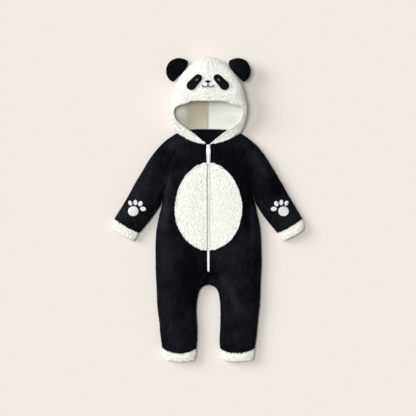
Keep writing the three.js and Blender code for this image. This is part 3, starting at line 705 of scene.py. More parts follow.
@dataclass
class Ground:
    """The triangles of a cloth that pile can grow on."""

    corners: Points
    normals: Points
    areas: Points

    @classmethod
    def of(cls, piece: bpy.types.Object, keep: Callable[[Points, Points], Points]) -> Ground:
        """Takes the triangles of a piece whose middles and normals pass a test."""
        mesh = piece.data
        mesh.calc_loop_triangles()
        index = np.empty(len(mesh.loop_triangles) * 3, np.int32)
        mesh.loop_triangles.foreach_get("vertices", index)
        corners = Bench.points(piece)[index.reshape(-1, 3)]
        cross = np.cross(corners[:, 1] - corners[:, 0], corners[:, 2] - corners[:, 0])
        doubled = np.linalg.norm(cross, axis=1)
        normals = cross / np.maximum(doubled, 1e-9)[:, None]
        chosen = keep(corners.mean(axis=1), normals) & (doubled > 1e-6)
        return cls(corners[chosen], normals[chosen], doubled[chosen] / 2)

    def scatter(self, spacing: float, seed: int) -> tuple[Points, Points]:
        """Random places, one for each spacing squared of the ground, with their normals."""
        rng = np.random.default_rng(seed)
        count = int(self.areas.sum() / spacing**2)
        marks = (np.arange(count) + rng.random(count)) * self.areas.sum() / count
        picked = np.searchsorted(np.cumsum(self.areas), marks)
        picked = np.minimum(picked, len(self.areas) - 1)
        a, b = rng.random(count), rng.random(count)
        flip = a + b > 1
        a[flip], b[flip] = 1 - a[flip], 1 - b[flip]
        tri = self.corners[picked]
        places = tri[:, 0] + a[:, None] * (tri[:, 1] - tri[:, 0]) + b[:, None] * (tri[:, 2] - tri[:, 0])
        return places, self.normals[picked]


def cell_uvs(count: int, local: Points) -> Points:
    """A place on the bake sheet for every vertex: one small square cell for each copy."""
    across = math.ceil(math.sqrt(count))
    cells = np.stack((np.arange(count) % across, np.arange(count) // across), axis=1)
    return ((cells[:, None, :] + 0.1 + 0.8 * local[None, :, :]) / across).reshape(-1, 2)


def unit(vectors: Points) -> Points:
    """The vectors at length 1."""
    return vectors / np.maximum(np.linalg.norm(vectors, axis=-1, keepdims=True), 1e-9)


@dataclass(frozen=True)
class ShortPile:
    """Brushed plush: small leaning wedges of strands, each a closed spike."""

    spacing: float = 2.15
    length: float = 3.1
    base: float = 0.95
    lean: float = 1.5
    sink: float = 0.25

    def grow(self, name: str, ground: Ground, nap: Nap, seed: int) -> bpy.types.Object:
        """Grows the pile on a ground, brushed one way with clouds where it lies askew."""
        places, normals = ground.scatter(self.spacing, seed)
        rng = np.random.default_rng(seed + 1)
        count = len(places)
        askew = 0.9 * cloud(places, 58.0, seed=11) + rng.normal(0, 0.45, count)
        brushed = np.zeros((count, 3))
        brushed[:, 0] = nap.value[0] * np.cos(askew) - nap.value[1] * np.sin(askew)
        brushed[:, 1] = nap.value[0] * np.sin(askew) + nap.value[1] * np.cos(askew)
        along = unit(brushed - np.einsum("ij,ij->i", brushed, normals)[:, None] * normals)
        side = np.cross(normals, along)
        lean = self.lean * (1 + 0.35 * cloud(places, 40.0, seed=12)) + rng.normal(0, 0.25, count)
        way = unit(normals + lean[:, None] * along)
        length = self.length * rng.uniform(0.75, 1.2, count)
        base = self.base * rng.uniform(0.8, 1.25, count)
        foot = places - self.sink * normals
        tip = foot + length[:, None] * way
        ring = [foot + base[:, None] * (math.cos(turn) * side + math.sin(turn) * np.cross(side, way))
                for turn in (math.radians(90), math.radians(210), math.radians(330))]
        points = np.stack((*ring, tip), axis=1).reshape(-1, 3)
        template = np.array(((0, 2, 1), (0, 1, 3), (1, 2, 3), (2, 0, 3)))
        faces = (template[None] + 4 * np.arange(count)[:, None, None]).reshape(-1, 3)
        local = np.array(((0.0, 0.0), (1.0, 0.0), (0.5, 0.5), (0.5, 1.0)))
        piece = Bench.mesh_piece(name, points, faces, cell_uvs(count, local))
        # each spike carries the painted sheen and shade of its root
        Bench.paint_sheen(piece, np.repeat(painted_sheen_tone(places), 4))
        return piece


@dataclass(frozen=True)
class CurlyPile:
    """Curly fleece: plump little locks, each a closed tube on a short arc."""

    spacing: float = 2.95
    radius: float = 1.75
    thick: float = 1.2
    rings: int = 5
    sweep: float = 235.0
    sink: float = 0.75

    def grow(self, name: str, ground: Ground, seed: int) -> bpy.types.Object:
        """Grows the locks on a ground, each turned and tipped its own way."""
        places, normals = ground.scatter(self.spacing, seed)
        rng = np.random.default_rng(seed + 1)
        count = len(places)
        guess = unit(rng.normal(size=(count, 3)))
        along = unit(np.cross(normals, guess))
        side = np.cross(normals, along)
        tip = np.radians(rng.uniform(12, 58, count))[:, None]
        rise = np.cos(tip) * side + np.sin(tip) * normals
        axis = np.cross(along, rise)
        radius = (self.radius * rng.uniform(0.7, 1.25, count))[:, None]
        centre = places + (radius * np.sin(tip) * 0.45 - self.sink) * normals
        start = rng.uniform(-60, -10, count)
        rows = []
        for k in range(self.rings):
            turn = np.radians(start + self.sweep * k / (self.rings - 1))[:, None]
            out = np.cos(turn) * along + np.sin(turn) * rise
            middle = centre + radius * out
            taper = 0.62 + 0.38 * math.sin(math.pi * (k + 0.5) / self.rings)
            for angle in (90, 210, 330):
                around = math.cos(math.radians(angle)) * out + math.sin(math.radians(angle)) * axis
                rows.append(middle + self.thick * taper * around)
        points = np.stack(rows, axis=1).reshape(-1, 3)
        size = 3 * self.rings
        tube = []
        for k in range(self.rings - 1):
            for j in range(3):
                a, b = 3 * k + j, 3 * k + (j + 1) % 3
                tube += [(a, a + 3, b), (b, a + 3, b + 3)]
        last = size - 3
        tube += [(0, 1, 2), (last, last + 2, last + 1)]
        faces = (np.array(tube)[None] + size * np.arange(count)[:, None, None]).reshape(-1, 3)
        local = np.array([(k / (self.rings - 1), j / 2) for k in range(self.rings) for j in range(3)])
        return Bench.mesh_piece(name, points, faces, cell_uvs(count, local))


def tube_strands(name: str, paths: list[Points], radius: float, sides: int = 4) -> bpy.types.Object:
    """Closed round-ended strands along short paths, joined in one piece.

    Args:
        name: the piece's name.
        paths: one array of points for each strand, all of the same length.
        radius: the strands' radius in millimetres.
        sides: how many sides a strand has.

    Returns:
        The new piece.
    """
    lines = np.stack(paths)
    count, steps, _ = lines.shape
    along = unit(np.gradient(lines, axis=1))
    up = np.array((0.0, 0.0, 1.0))
    side = unit(np.cross(along, up))
    over = np.cross(side, along)
    shrink = np.ones(steps)
    shrink[[0, -1]] = 0.45
    rows = []
    for j in range(sides):
        turn = 2 * math.pi * (j + 0.5) / sides
        rows.append(lines + radius * shrink[None, :, None] * (math.cos(turn) * side + math.sin(turn) * over))
    points = np.stack(rows, axis=2).reshape(-1, 3)
    size = steps * sides
    quads = [(here + j, here + (j + 1) % sides, here + sides + (j + 1) % sides, here + sides + j)
             for here in range(0, sides * (steps - 1), sides) for j in range(sides)]
    tris = [t for a, b, c, d in quads for t in ((a, b, c), (a, c, d))]
    last = size - sides
    tris += [(0, j + 1, j) for j in range(1, sides - 1)]
    tris += [(last, last + j, last + j + 1) for j in range(1, sides - 1)]
    faces = (np.array(tris)[None] + size * np.arange(count)[:, None, None]).reshape(-1, 3)
    local = np.array([(k / (steps - 1), j / (sides - 1)) for k in range(steps) for j in range(sides)])
    return Bench.mesh_piece(name, points, faces, cell_uvs(count, local))


# ---- sub-assemblies ----------------------------------------------------------------------------


class Wardrobe:
    """The finishes, each dyed once."""

    def __init__(self) -> None:
        """Dyes every finish."""
        self.plush = BlackPlush().dye("black_plush_ground", pile=False)
        self.plush_pile = BlackPlush().dye("black_plush_pile", pile=True)
        self.fleece = WhiteFleece().dye("white_fleece_ground", pile=False)
        self.fleece_locks = WhiteFleece().dye("white_fleece_locks", pile=True)
        self.lining = WhiteLining().dye("white_hood_lining")
        white = Thread("white_thread", (0.78, 0.78, 0.78), (0.93, 0.93, 0.92))
        grey = Thread("white_thread", (0.09, 0.09, 0.10), (0.20, 0.20, 0.21))
        black = Thread("black_thread", (0.001, 0.001, 0.002), (0.005, 0.005, 0.007), gleam=0.08)
        self.white_thread = white.dye("white_embroidery")
        self.grey_thread = grey.dye("grey_embroidery")
        self.black_thread = black.dye("black_embroidery")
        self.tape = WovenTape().dye("woven_zip_tape")
        self.plastic = MouldedWhite().dye("moulded_zip_white")


@dataclass
class Body:
    """The two fronts and two backs, each with its leg, and their pile."""

    nodes: dict[str, bpy.types.Object]
    wardrobe: Wardrobe
    leg_x: float = 76.0
    pile_room: float = 0.7
    front_seam: tuple[float, float] = (1.4, -183.0)
    back_seam: tuple[float, float] = (0.8, 400.0)
    zip_edge: float = 6.6
    zip_foot: float = -166.0
    bone_z: float = 14.0
    bone_ends: tuple[float, float] = (150.0, -392.0)
    front_cut: tuple[float, float] = (0.140, 0.580)
    back_cut: tuple[float, float] = (0.140, 0.598)
    front_area: float = 0.0657
    back_area: float = 0.0687
    folds: tuple[Fold, ...] = (
        Fold((-34, -118), (-31, -172), 5.5, -2.6, 2.0),
        Fold((-20, -112), (-17, -168), 7.0, 1.5, -1.5),
        Fold((24, -122), (20, -170), 7.0, -1.8, -2.0),
        Fold((22, -128), (47, -252), 9.0, 2.4, 4.0),
        Fold((58, -150), (70, -262), 12.0, -1.4, -5.0),
        Fold((-28, -184), (0, -170), 6.0, -2.6, 3.0),
        Fold((0, -170), (28, -186), 6.0, -2.6, 3.0),
        Fold((-52, -176), (-88, -236), 10.0, -1.7, 5.0),
        Fold((-108, 2), (-112, -120), 11.0, 1.8, 3.0),
        Fold((-98, 24), (-104, -70), 7.0, -1.6, 2.0),
        Fold((104, 12), (112, -96), 9.0, -1.9, -3.0),
        Fold((118, -20), (122, -130), 8.0, 1.4, 2.0),
        Fold((-88, 118), (-62, 146), 9.0, 1.5, 2.0),
        Fold((-84, 96), (-60, 128), 7.0, -1.5, 1.0),
        Fold((66, 142), (88, 104), 8.0, -1.7, -2.0),
        Fold((52, 150), (76, 118), 8.0, 1.3, -2.0),
        Fold((-84, -268), (-96, -352), 13.0, 1.8, 4.0),
        Fold((-52, -300), (-60, -362), 8.0, -1.6, -2.0),
        Fold((54, -286), (62, -356), 9.0, -1.7, 2.0),
        Fold((92, -276), (84, -350), 12.0, 1.7, 3.0),
        Fold((-44, -318), (-104, -330), 8.0, -1.0, -4.0),
        Fold((50, -336), (108, -322), 8.0, -1.1, 3.0),
    )

    def lie(self) -> Lie:
        """How the body cloth lies."""
        return Lie(folds=self.folds)

    def bone(self, side: str) -> tuple[tuple[float, float, float], ...]:
        """The middle line of one half of the body."""
        x = self.leg_x if side == "left" else -self.leg_x
        return tuple((x, y, self.bone_z) for y in self.bone_ends)

    def build(self) -> None:
        """Makes the panels, dresses them and grows their pile."""
        for number, side in enumerate(SIDES):
            front = Cloth(f"front_{side}", 3, self.lie(), self.bone(side), self.pile_room, self.front_seam)
            back = Cloth(f"back_{side}", 2, self.lie(), self.bone(side), self.pile_room, self.back_seam)
            for cloth, cut, area, seed in ((front, self.front_cut, self.front_area, 21),
                                           (back, self.back_cut, self.back_area, 31)):
                piece = cloth.make(self.nodes)
                Bench.wear(piece, self.wardrobe.plush, BlackPlush.slot)

                def grows(middles: Points, normals: Points, cloth: Cloth = cloth) -> Points:
                    """Whether plush shows: outside, and not where the zip's edge is turned in."""
                    turned = (np.abs(middles[:, 0]) < self.zip_edge) & (middles[:, 1] > self.zip_foot)
                    outside = cloth.outer_faces(middles, normals) & (normals[:, 2] > -0.55)
                    return outside & (middles[:, 2] > 2.5) & ~turned

                ground = Ground.of(piece, grows)
                pile = ShortPile().grow(f"{cloth.node}_pile", ground, Nap.DOWN, seed + number)
                Bench.wear(pile, self.wardrobe.plush_pile, BlackPlush.slot)
                LOG.info("%s: cloth and pile", cloth.node)


@dataclass
class Sleeves:
    """The raglan sleeves and their pile."""

    nodes: dict[str, bpy.types.Object]
    wardrobe: Wardrobe
    shoulder: Plan = (96.0, 168.0)
    wrist: Plan = (214.0, -48.0)
    bone_z: float = 14.0
    pile_room: float = 0.7
    right_shift: float = 9.0
    cut: tuple[float, float] = (0.205, 0.285)
    area: float = 0.0402
    folds: tuple[Fold, ...] = (
        Fold((112, 150), (140, 96), 8.0, -1.8, 3.0),
        Fold((126, 140), (160, 74), 10.0, 1.9, -3.0),
        Fold((120, 74), (150, 20), 8.0, -2.0, 2.0),
        Fold((134, 62), (166, 2), 9.0, 1.6, -2.0),
        Fold((150, -8), (184, 22), 7.0, -1.4, 2.0),
        Fold((152, -34), (196, -22), 8.0, 1.3, -3.0),
        Fold((196, 26), (214, -8), 8.0, 1.2, 1.0),
        Fold((108, 60), (122, 24), 6.0, -1.9, 1.0),
    )

    def build(self) -> None:
        """Makes both sleeves, the right one's folds a little different from the left one's."""
        for number, side in enumerate(SIDES):
            way = 1 if side == "left" else -1
            shift = 0.0 if side == "left" else self.right_shift
            folds = tuple(Fold((way * (f.start[0] + 0.4 * shift), f.start[1] - shift),
                               (way * (f.end[0] + 0.4 * shift), f.end[1] - shift),
                               f.width * (1 + 0.02 * shift), f.height * (1 - 0.03 * shift), way * f.bow)
                          for f in self.folds)
            bone = tuple((way * x, y, self.bone_z) for x, y in (self.shoulder, self.wrist))
            cloth = Cloth(f"sleeve_{side}", 3, Lie(folds=folds), bone, self.pile_room)
            piece = cloth.make(self.nodes)
            Bench.snug(piece, [bpy.data.objects[f"{panel}_{side}_cloth"] for panel in ("front", "back")])
            Bench.wear(piece, self.wardrobe.plush, BlackPlush.slot)

            def grows(middles: Points, normals: Points, cloth: Cloth = cloth) -> Points:
                """Whether plush shows on these faces."""
                return cloth.outer_faces(middles, normals) & (normals[:, 2] > -0.55) & (middles[:, 2] > 2.5)

            nap = Nap.DOWN_LEFT_ARM if side == "left" else Nap.DOWN_RIGHT_ARM
            pile = ShortPile().grow(f"{cloth.node}_pile", Ground.of(piece, grows), nap, 41 + number)
            Bench.wear(pile, self.wardrobe.plush_pile, BlackPlush.slot)
            LOG.info("%s: cloth and pile", cloth.node)


@dataclass
class Cuffs:
    """The four fleece cuffs."""

    nodes: dict[str, bpy.types.Object]
    wardrobe: Wardrobe
    sleeve_cut: tuple[float, float] = (0.185, 0.027)
    sleeve_area: float = 0.00445
    leg_cut: tuple[float, float] = (0.195, 0.0275)
    leg_area: float = 0.00524
    pile_room: float = 1.6
    half_bone: float = 10.0

    def build(self) -> None:
        """Makes the cuffs and their locks."""
        for number, side in enumerate(SIDES):
            for kind, cut, area in (("sleeve_cuff", self.sleeve_cut, self.sleeve_area),
                                    ("leg_cuff", self.leg_cut, self.leg_area)):
                node = f"{kind}_{side}"
                low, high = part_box(node)
                middle = (low + high) / 2 / MM
                bone = tuple((middle.x, middle.y + way * self.half_bone, middle.z) for way in (1, -1))
                cloth = Cloth(node, 2, Lie(wave=0.4), bone, self.pile_room)
                piece = cloth.make(self.nodes)
                Bench.wear(piece, self.wardrobe.fleece, WhiteFleece.slot)

                def grows(middles: Points, normals: Points, cloth: Cloth = cloth) -> Points:
                    """Whether fleece shows: outside, and round the open end."""
                    outside = cloth.outer_faces(middles, normals) | (normals[:, 1] < -0.35)
                    return outside & (normals[:, 2] > -0.6) & (middles[:, 2] > 2.0)

                locks = CurlyPile(spacing=2.9).grow(f"{node}_locks", Ground.of(piece, grows), 51 + 2 * number)
                Bench.wear(locks, self.wardrobe.fleece_locks, WhiteFleece.slot)
                LOG.info("%s: cloth and locks", node)


@dataclass
class Hood:
    """The two-panel hood, its lining and the soft rim of the face opening."""

    nodes: dict[str, bpy.types.Object]
    wardrobe: Wardrobe
    shell_cut: tuple[float, float] = (0.225, 0.265)
    shell_area: float = 0.0354
    lining_cut: tuple[float, float] = (0.210, 0.255)
    lining_area: float = 0.0322
    bone: tuple[tuple[float, float, float], ...] = ((0, 205, 12), (0, 255, 38), (0, 340, 42))
    neck_tape: tuple[Fold, ...] = (
        Fold((-62, 223), (30, 222), 3.2, 2.2),
        Fold((-56, 213), (66, 212), 3.2, 2.4),
    )
    pile_room: float = 1.8
    seam: tuple[float, float] = (0.8, 400.0)
    crown_wide: float = 15.0
    crown_round: float = 3.0
    crown_ends: tuple[float, float] = (378.0, 398.0)
    sewn: float = 3.6
    motif_reach: float = 40.0
    rim_turned: float = 5.5
    rim_low: float = 20.0
    opening_y: float = 232.0
    valley: float = 16.0
    valley_reach: float = 62.0
    valley_floor: tuple[float, float] = (8.0, 34.0)
    valley_foot: tuple[float, float] = (212.0, 250.0)
    valley_head: tuple[float, float] = (352.0, 384.0)
    folds: tuple[Fold, ...] = (
        Fold((38, 384), (14, 352), 9.0, -1.3, 2.0),
        Fold((-42, 380), (-16, 350), 10.0, -1.2, -2.0),
        Fold((60, 352), (84, 300), 12.0, 1.6, 3.0),
        Fold((-62, 346), (-88, 292), 12.0, 1.4, -3.0),
        Fold((20, 296), (66, 306), 8.0, -1.2, 3.0),
        Fold((-24, 300), (-62, 308), 8.0, -1.1, -3.0),
    )

    def lie(self, extra: tuple[Fold, ...] = ()) -> Lie:
        """How the fleece and the lining lie, with a piece's own folds added."""
        return Lie(folds=self.folds + extra, wave=0.8, wave_size=60.0, zip_clear=(0.0, 0.1))

    def sag_lining(self, points: Points) -> Points:
        """The lining hangs in a valley along its centre seam, off the fleece behind it."""
        floor_part = 1 - smooth_step(*self.valley_floor, points[:, 2])
        foot, head = (smooth_step(*ends, points[:, 1]) for ends in (self.valley_foot, self.valley_head))
        along = foot * (1 - head)
        away = np.clip(np.abs(points[:, 0]) / self.valley_reach, 0, 1)
        sagged = points.copy()
        sagged[:, 2] += self.valley * away**1.15 * floor_part * along
        return sagged

    def round_crown(self, points: Points) -> Points:
        """The tip of the crown, where both halves meet, pressed round."""
        eased = points.copy()
        near = np.exp(-((points[:, 0] / self.crown_wide) ** 2)) * smooth_step(*self.crown_ends, points[:, 1])
        eased[:, 1] -= self.crown_round * near
        return eased

    def build(self) -> None:
        """Makes the shells, linings and locks."""
        for number, side in enumerate(SIDES):
            shell = Cloth(f"hood_{side}", 3, self.lie(), self.bone, self.pile_room, self.seam)
            piece = shell.make(self.nodes)
            Bench.put_points(piece, self.round_crown(Bench.points(piece)))
            Bench.wear(piece, self.wardrobe.fleece, WhiteFleece.slot)
            rim = self.rim_line(side)

            def grows(middles: Points, normals: Points, shell: Cloth = shell, rim: Points = rim) -> Points:
                """Whether fleece shows: outside, and over the turned rim."""
                away = np.linalg.norm(middles[:, None, :] - rim[None, ::3, :], axis=2)
                near_rim = (away.min(axis=1) < self.rim_turned) & (middles[:, 2] > self.rim_low)
                outside = shell.outer_faces(middles, normals) | near_rim
                shown = outside & (normals[:, 2] > -0.7) & (middles[:, 2] > 2.0)
                return shown & self.clear_of_face(middles)

            locks = CurlyPile().grow(f"hood_{side}_locks", Ground.of(piece, grows), 61 + number)
            Bench.wear(locks, self.wardrobe.fleece_locks, WhiteFleece.slot)
            lining = Cloth(f"hood_lining_{side}", 3, self.lie(self.neck_tape), self.bone,
                           centre=self.seam).make(self.nodes)
            Bench.put_points(lining, self.sag_lining(Bench.points(lining)))
            Bench.wear(lining, self.wardrobe.lining, WhiteLining.slot)
            LOG.info("hood %s: shell, locks and lining", side)

    def clear_of_face(self, middles: Points) -> Points:
        """Which places are clear of the embroidery, where the fleece is sewn down."""
        clear = np.ones(len(middles), bool)
        for motif in ("eye_patch_left", "eye_patch_right", "nose", "mouth"):
            tree = Bench.tree(self.nodes[motif])
            middle = np.array(sum(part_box(motif), Vector()) / 2 / MM)
            near = np.linalg.norm(middles - middle, axis=1) < self.motif_reach
            for k in np.flatnonzero(near & clear):
                clear[k] = tree.find_nearest(Vector(middles[k]), self.sewn)[0] is None
        return clear

    def rim_line(self, side: str) -> Points:
        """The rim of the face opening, found by looking down from above the opening."""
        node = self.nodes[f"hood_{side}"]
        tree = Bench.tree(node)
        way = 1 if side == "left" else -1
        rim = []
        for angle in np.radians(np.arange(-84, 90, 1.5)):
            for reach in np.arange(2.0, 120.0, 0.5):
                x, y = way * reach * math.cos(angle), self.opening_y + reach * math.sin(angle)
                hit = Bench.top_at(tree, x, y)
                if hit is not None and hit.z > self.rim_low:
                    rim.append(tuple(hit))
                    break
        return np.array(rim)


@dataclass
class Ears:
    """Two padded round ears."""

    nodes: dict[str, bpy.types.Object]
    wardrobe: Wardrobe
    lobe: float = 0.30
    lobe_up: float = -10.0
    wave: float = 0.8
    wave_size: float = 34.0
    top_part: tuple[float, float] = (40.0, 48.0)

    def lobed(self, plan: Points, inward: int) -> Points:
        """The ear's outline drawn out where it runs in under the hood."""
        middle = (plan.min(axis=0) + plan.max(axis=0)) / 2
        out = plan - middle
        turn = np.arctan2(out[:, 1], inward * out[:, 0]) - math.radians(self.lobe_up)
        return middle + out * (1 + self.lobe * np.maximum(np.cos(turn), 0) ** 4)[:, None]

    def build(self) -> None:
        """Makes the ears plump, with soft waves on top and a lobe where each runs in under the hood, and
        grows their pile.
        """
        for number, side in enumerate(SIDES):
            node = f"ear_{side}"
            piece = Bench.copy_of(self.nodes[node], f"{node}_pad")
            with Bench.editing(piece):
                Bench.to_quads()
            Bench.apply(piece, "SUBSURF", levels=2, render_levels=2)
            Bench.smooth(piece)
            points = Bench.points(piece)
            soft = cloud(points, self.wave_size, 71 + number) * smooth_step(*self.top_part, points[:, 2])
            points[:, 2] += self.wave * soft
            points[:, :2] = self.lobed(points[:, :2], -1 if side == "left" else 1)
            Bench.put_points(piece, points)
            Bench.wear(piece, self.wardrobe.plush, BlackPlush.slot)
            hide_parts(node)
            ground = Ground.of(piece, lambda middles, normals: normals[:, 2] > -0.9)
            pile = ShortPile(spacing=2.0).grow(f"{node}_pile", ground, Nap.DOWN, 73 + number)
            Bench.wear(pile, self.wardrobe.plush_pile, BlackPlush.slot)
            LOG.info("%s: pad and pile", node)


@dataclass
class Belly:
    """The white oval on the front, in two halves."""

    nodes: dict[str, bpy.types.Object]
    wardrobe: Wardrobe
    body: Body
    cut: tuple[float, float] = (0.084, 0.228)
    area: float = 0.01523
    pile_room: float = 1.6
    over_tape: float = 2.1
    drawn_in: tuple[float, float] = (6.5, 15.0)

    def build(self) -> None:
        """Makes the halves and their locks, on the same lie as the front."""
        for number, side in enumerate(SIDES):
            cloth = Cloth(f"belly_{side}", 3, self.body.lie(), self.body.bone(side), self.pile_room)
            piece = cloth.make(self.nodes)
            points = Bench.points(piece)
            across = np.abs(points[:, 0])
            points[:, 0] -= np.sign(points[:, 0]) * self.over_tape * (1 - smooth_step(*self.drawn_in, across))
            Bench.put_points(piece, points)
            Bench.wear(piece, self.wardrobe.fleece, WhiteFleece.slot)
            ground = Ground.of(piece, lambda middles, normals: normals[:, 2] > -0.2)
            locks = CurlyPile().grow(f"belly_{side}_locks", ground, 81 + number)
            Bench.wear(locks, self.wardrobe.fleece_locks, WhiteFleece.slot)
            LOG.info("belly %s: cloth and locks", side)


@dataclass(frozen=True)
class SatinStitch:
    """Embroidery: close strands laid across a motif, found on the motif's own top."""

    pitch: float = 0.62
    radius: float = 0.36
    steps: int = 6
    crown: float = 0.5

    def stitch(self, name: str, node: bpy.types.Object, turn: float) -> bpy.types.Object:
        """Lays the strands.

        Args:
            name: the piece's name.
            node: the motif's solid.
            turn: which way the strands run, in degrees from +X.

        Returns:
            The strands as one piece.
        """
        corners = Bench.points(node)
        tree = Bench.tree(node)
        along = np.array((math.cos(math.radians(turn)), math.sin(math.radians(turn))))
        across = np.array((-along[1], along[0]))
        middle = (corners.min(axis=0) + corners.max(axis=0))[:2] / 2
        reach = float(np.linalg.norm(corners[:, :2] - middle, axis=1).max()) + 1
        strands = []
        for offset in np.arange(-reach, reach, self.pitch):
            line = [middle + across * offset + along * t for t in np.arange(-reach, reach, 0.25)]
            hits = [self._top(tree, place) for place in line]
            strands += self._runs(hits)
        return tube_strands(name, strands, self.radius)

    @staticmethod
    def _top(tree: BVHTree, place: Points) -> Points | None:
        """The motif's top at a place in plan."""
        hit = Bench.top_at(tree, *place)
        return None if hit is None else np.array(hit)

    def _runs(self, hits: list[Points | None]) -> list[Points]:
        """Strands over each unbroken run of hits."""
        runs: list[Points] = []
        open_run: list[Points] = []
        for hit in [*hits, None]:
            if hit is not None:
                open_run.append(hit)
            elif len(open_run) > 3:
                run = np.array(open_run)
                t = np.linspace(0, 1, self.steps)
                picked = run[np.round(t * (len(run) - 1)).astype(int)]
                picked[:, 2] += self.crown * np.sin(math.pi * t) - 0.35 * self.radius
                runs.append(picked)
                open_run = []
            else:
                open_run = []
        return runs


@dataclass
class Motifs:
    """The embroidered face and the paw prints."""

    nodes: dict[str, bpy.types.Object]
    wardrobe: Wardrobe
    toe_turns: tuple[float, ...] = (66.0, 86.0, 112.0, 8.0)
    ground_drop: float = 0.25
    edge_round: float = 0.35

    def ground(self, node: str, material: bpy.types.Material, slot: str) -> None:
        """The padding under a motif's strands: the solid's own form, with a soft edge."""
        piece = Bench.copy_of(self.nodes[node], f"{node}_ground")
        Bench.round_edges(piece, self.edge_round, 2, 50)
        Bench.smooth(piece)
        points = Bench.points(piece)
        points[:, 2] -= self.ground_drop
        Bench.put_points(piece, points)
        Bench.wear(piece, material, slot)
        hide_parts(node)

    def motif(self, node: str, turn: float, stitch: SatinStitch, material: bpy.types.Material) -> None:
        """One embroidered motif: its padding and its strands."""
        slot = "black_thread" if material is self.wardrobe.black_thread else "white_thread"
        self.ground(node, material, slot)
        strands = stitch.stitch(f"{node}_strands", self.nodes[node], turn)
        Bench.wear(strands, material, slot)
        LOG.info("%s: embroidered", node)

    def build(self) -> None:
        """Embroiders the face and the paws."""
        plain = SatinStitch()
        fine = SatinStitch(pitch=0.5, radius=0.3, crown=0.25)
        for side in SIDES:
            way = 1 if side == "left" else -1
            self.motif(f"eye_patch_{side}", way * 52.0, plain, self.wardrobe.black_thread)
            self.motif(f"eye_glint_{side}", way * 30.0, fine, self.wardrobe.grey_thread)
            self.motif(f"paw_pad_{side}", way * 38.0, plain, self.wardrobe.white_thread)
            for k, turn in enumerate(self.toe_turns, start=1):
                self.motif(f"paw_toe_{side}_{k}", way * (turn - 90.0), fine, self.wardrobe.white_thread)
        self.motif("nose", 90.0, fine, self.wardrobe.black_thread)
        self.motif("mouth", 84.0, SatinStitch(pitch=0.5, radius=0.3, crown=0.1), self.wardrobe.black_thread)


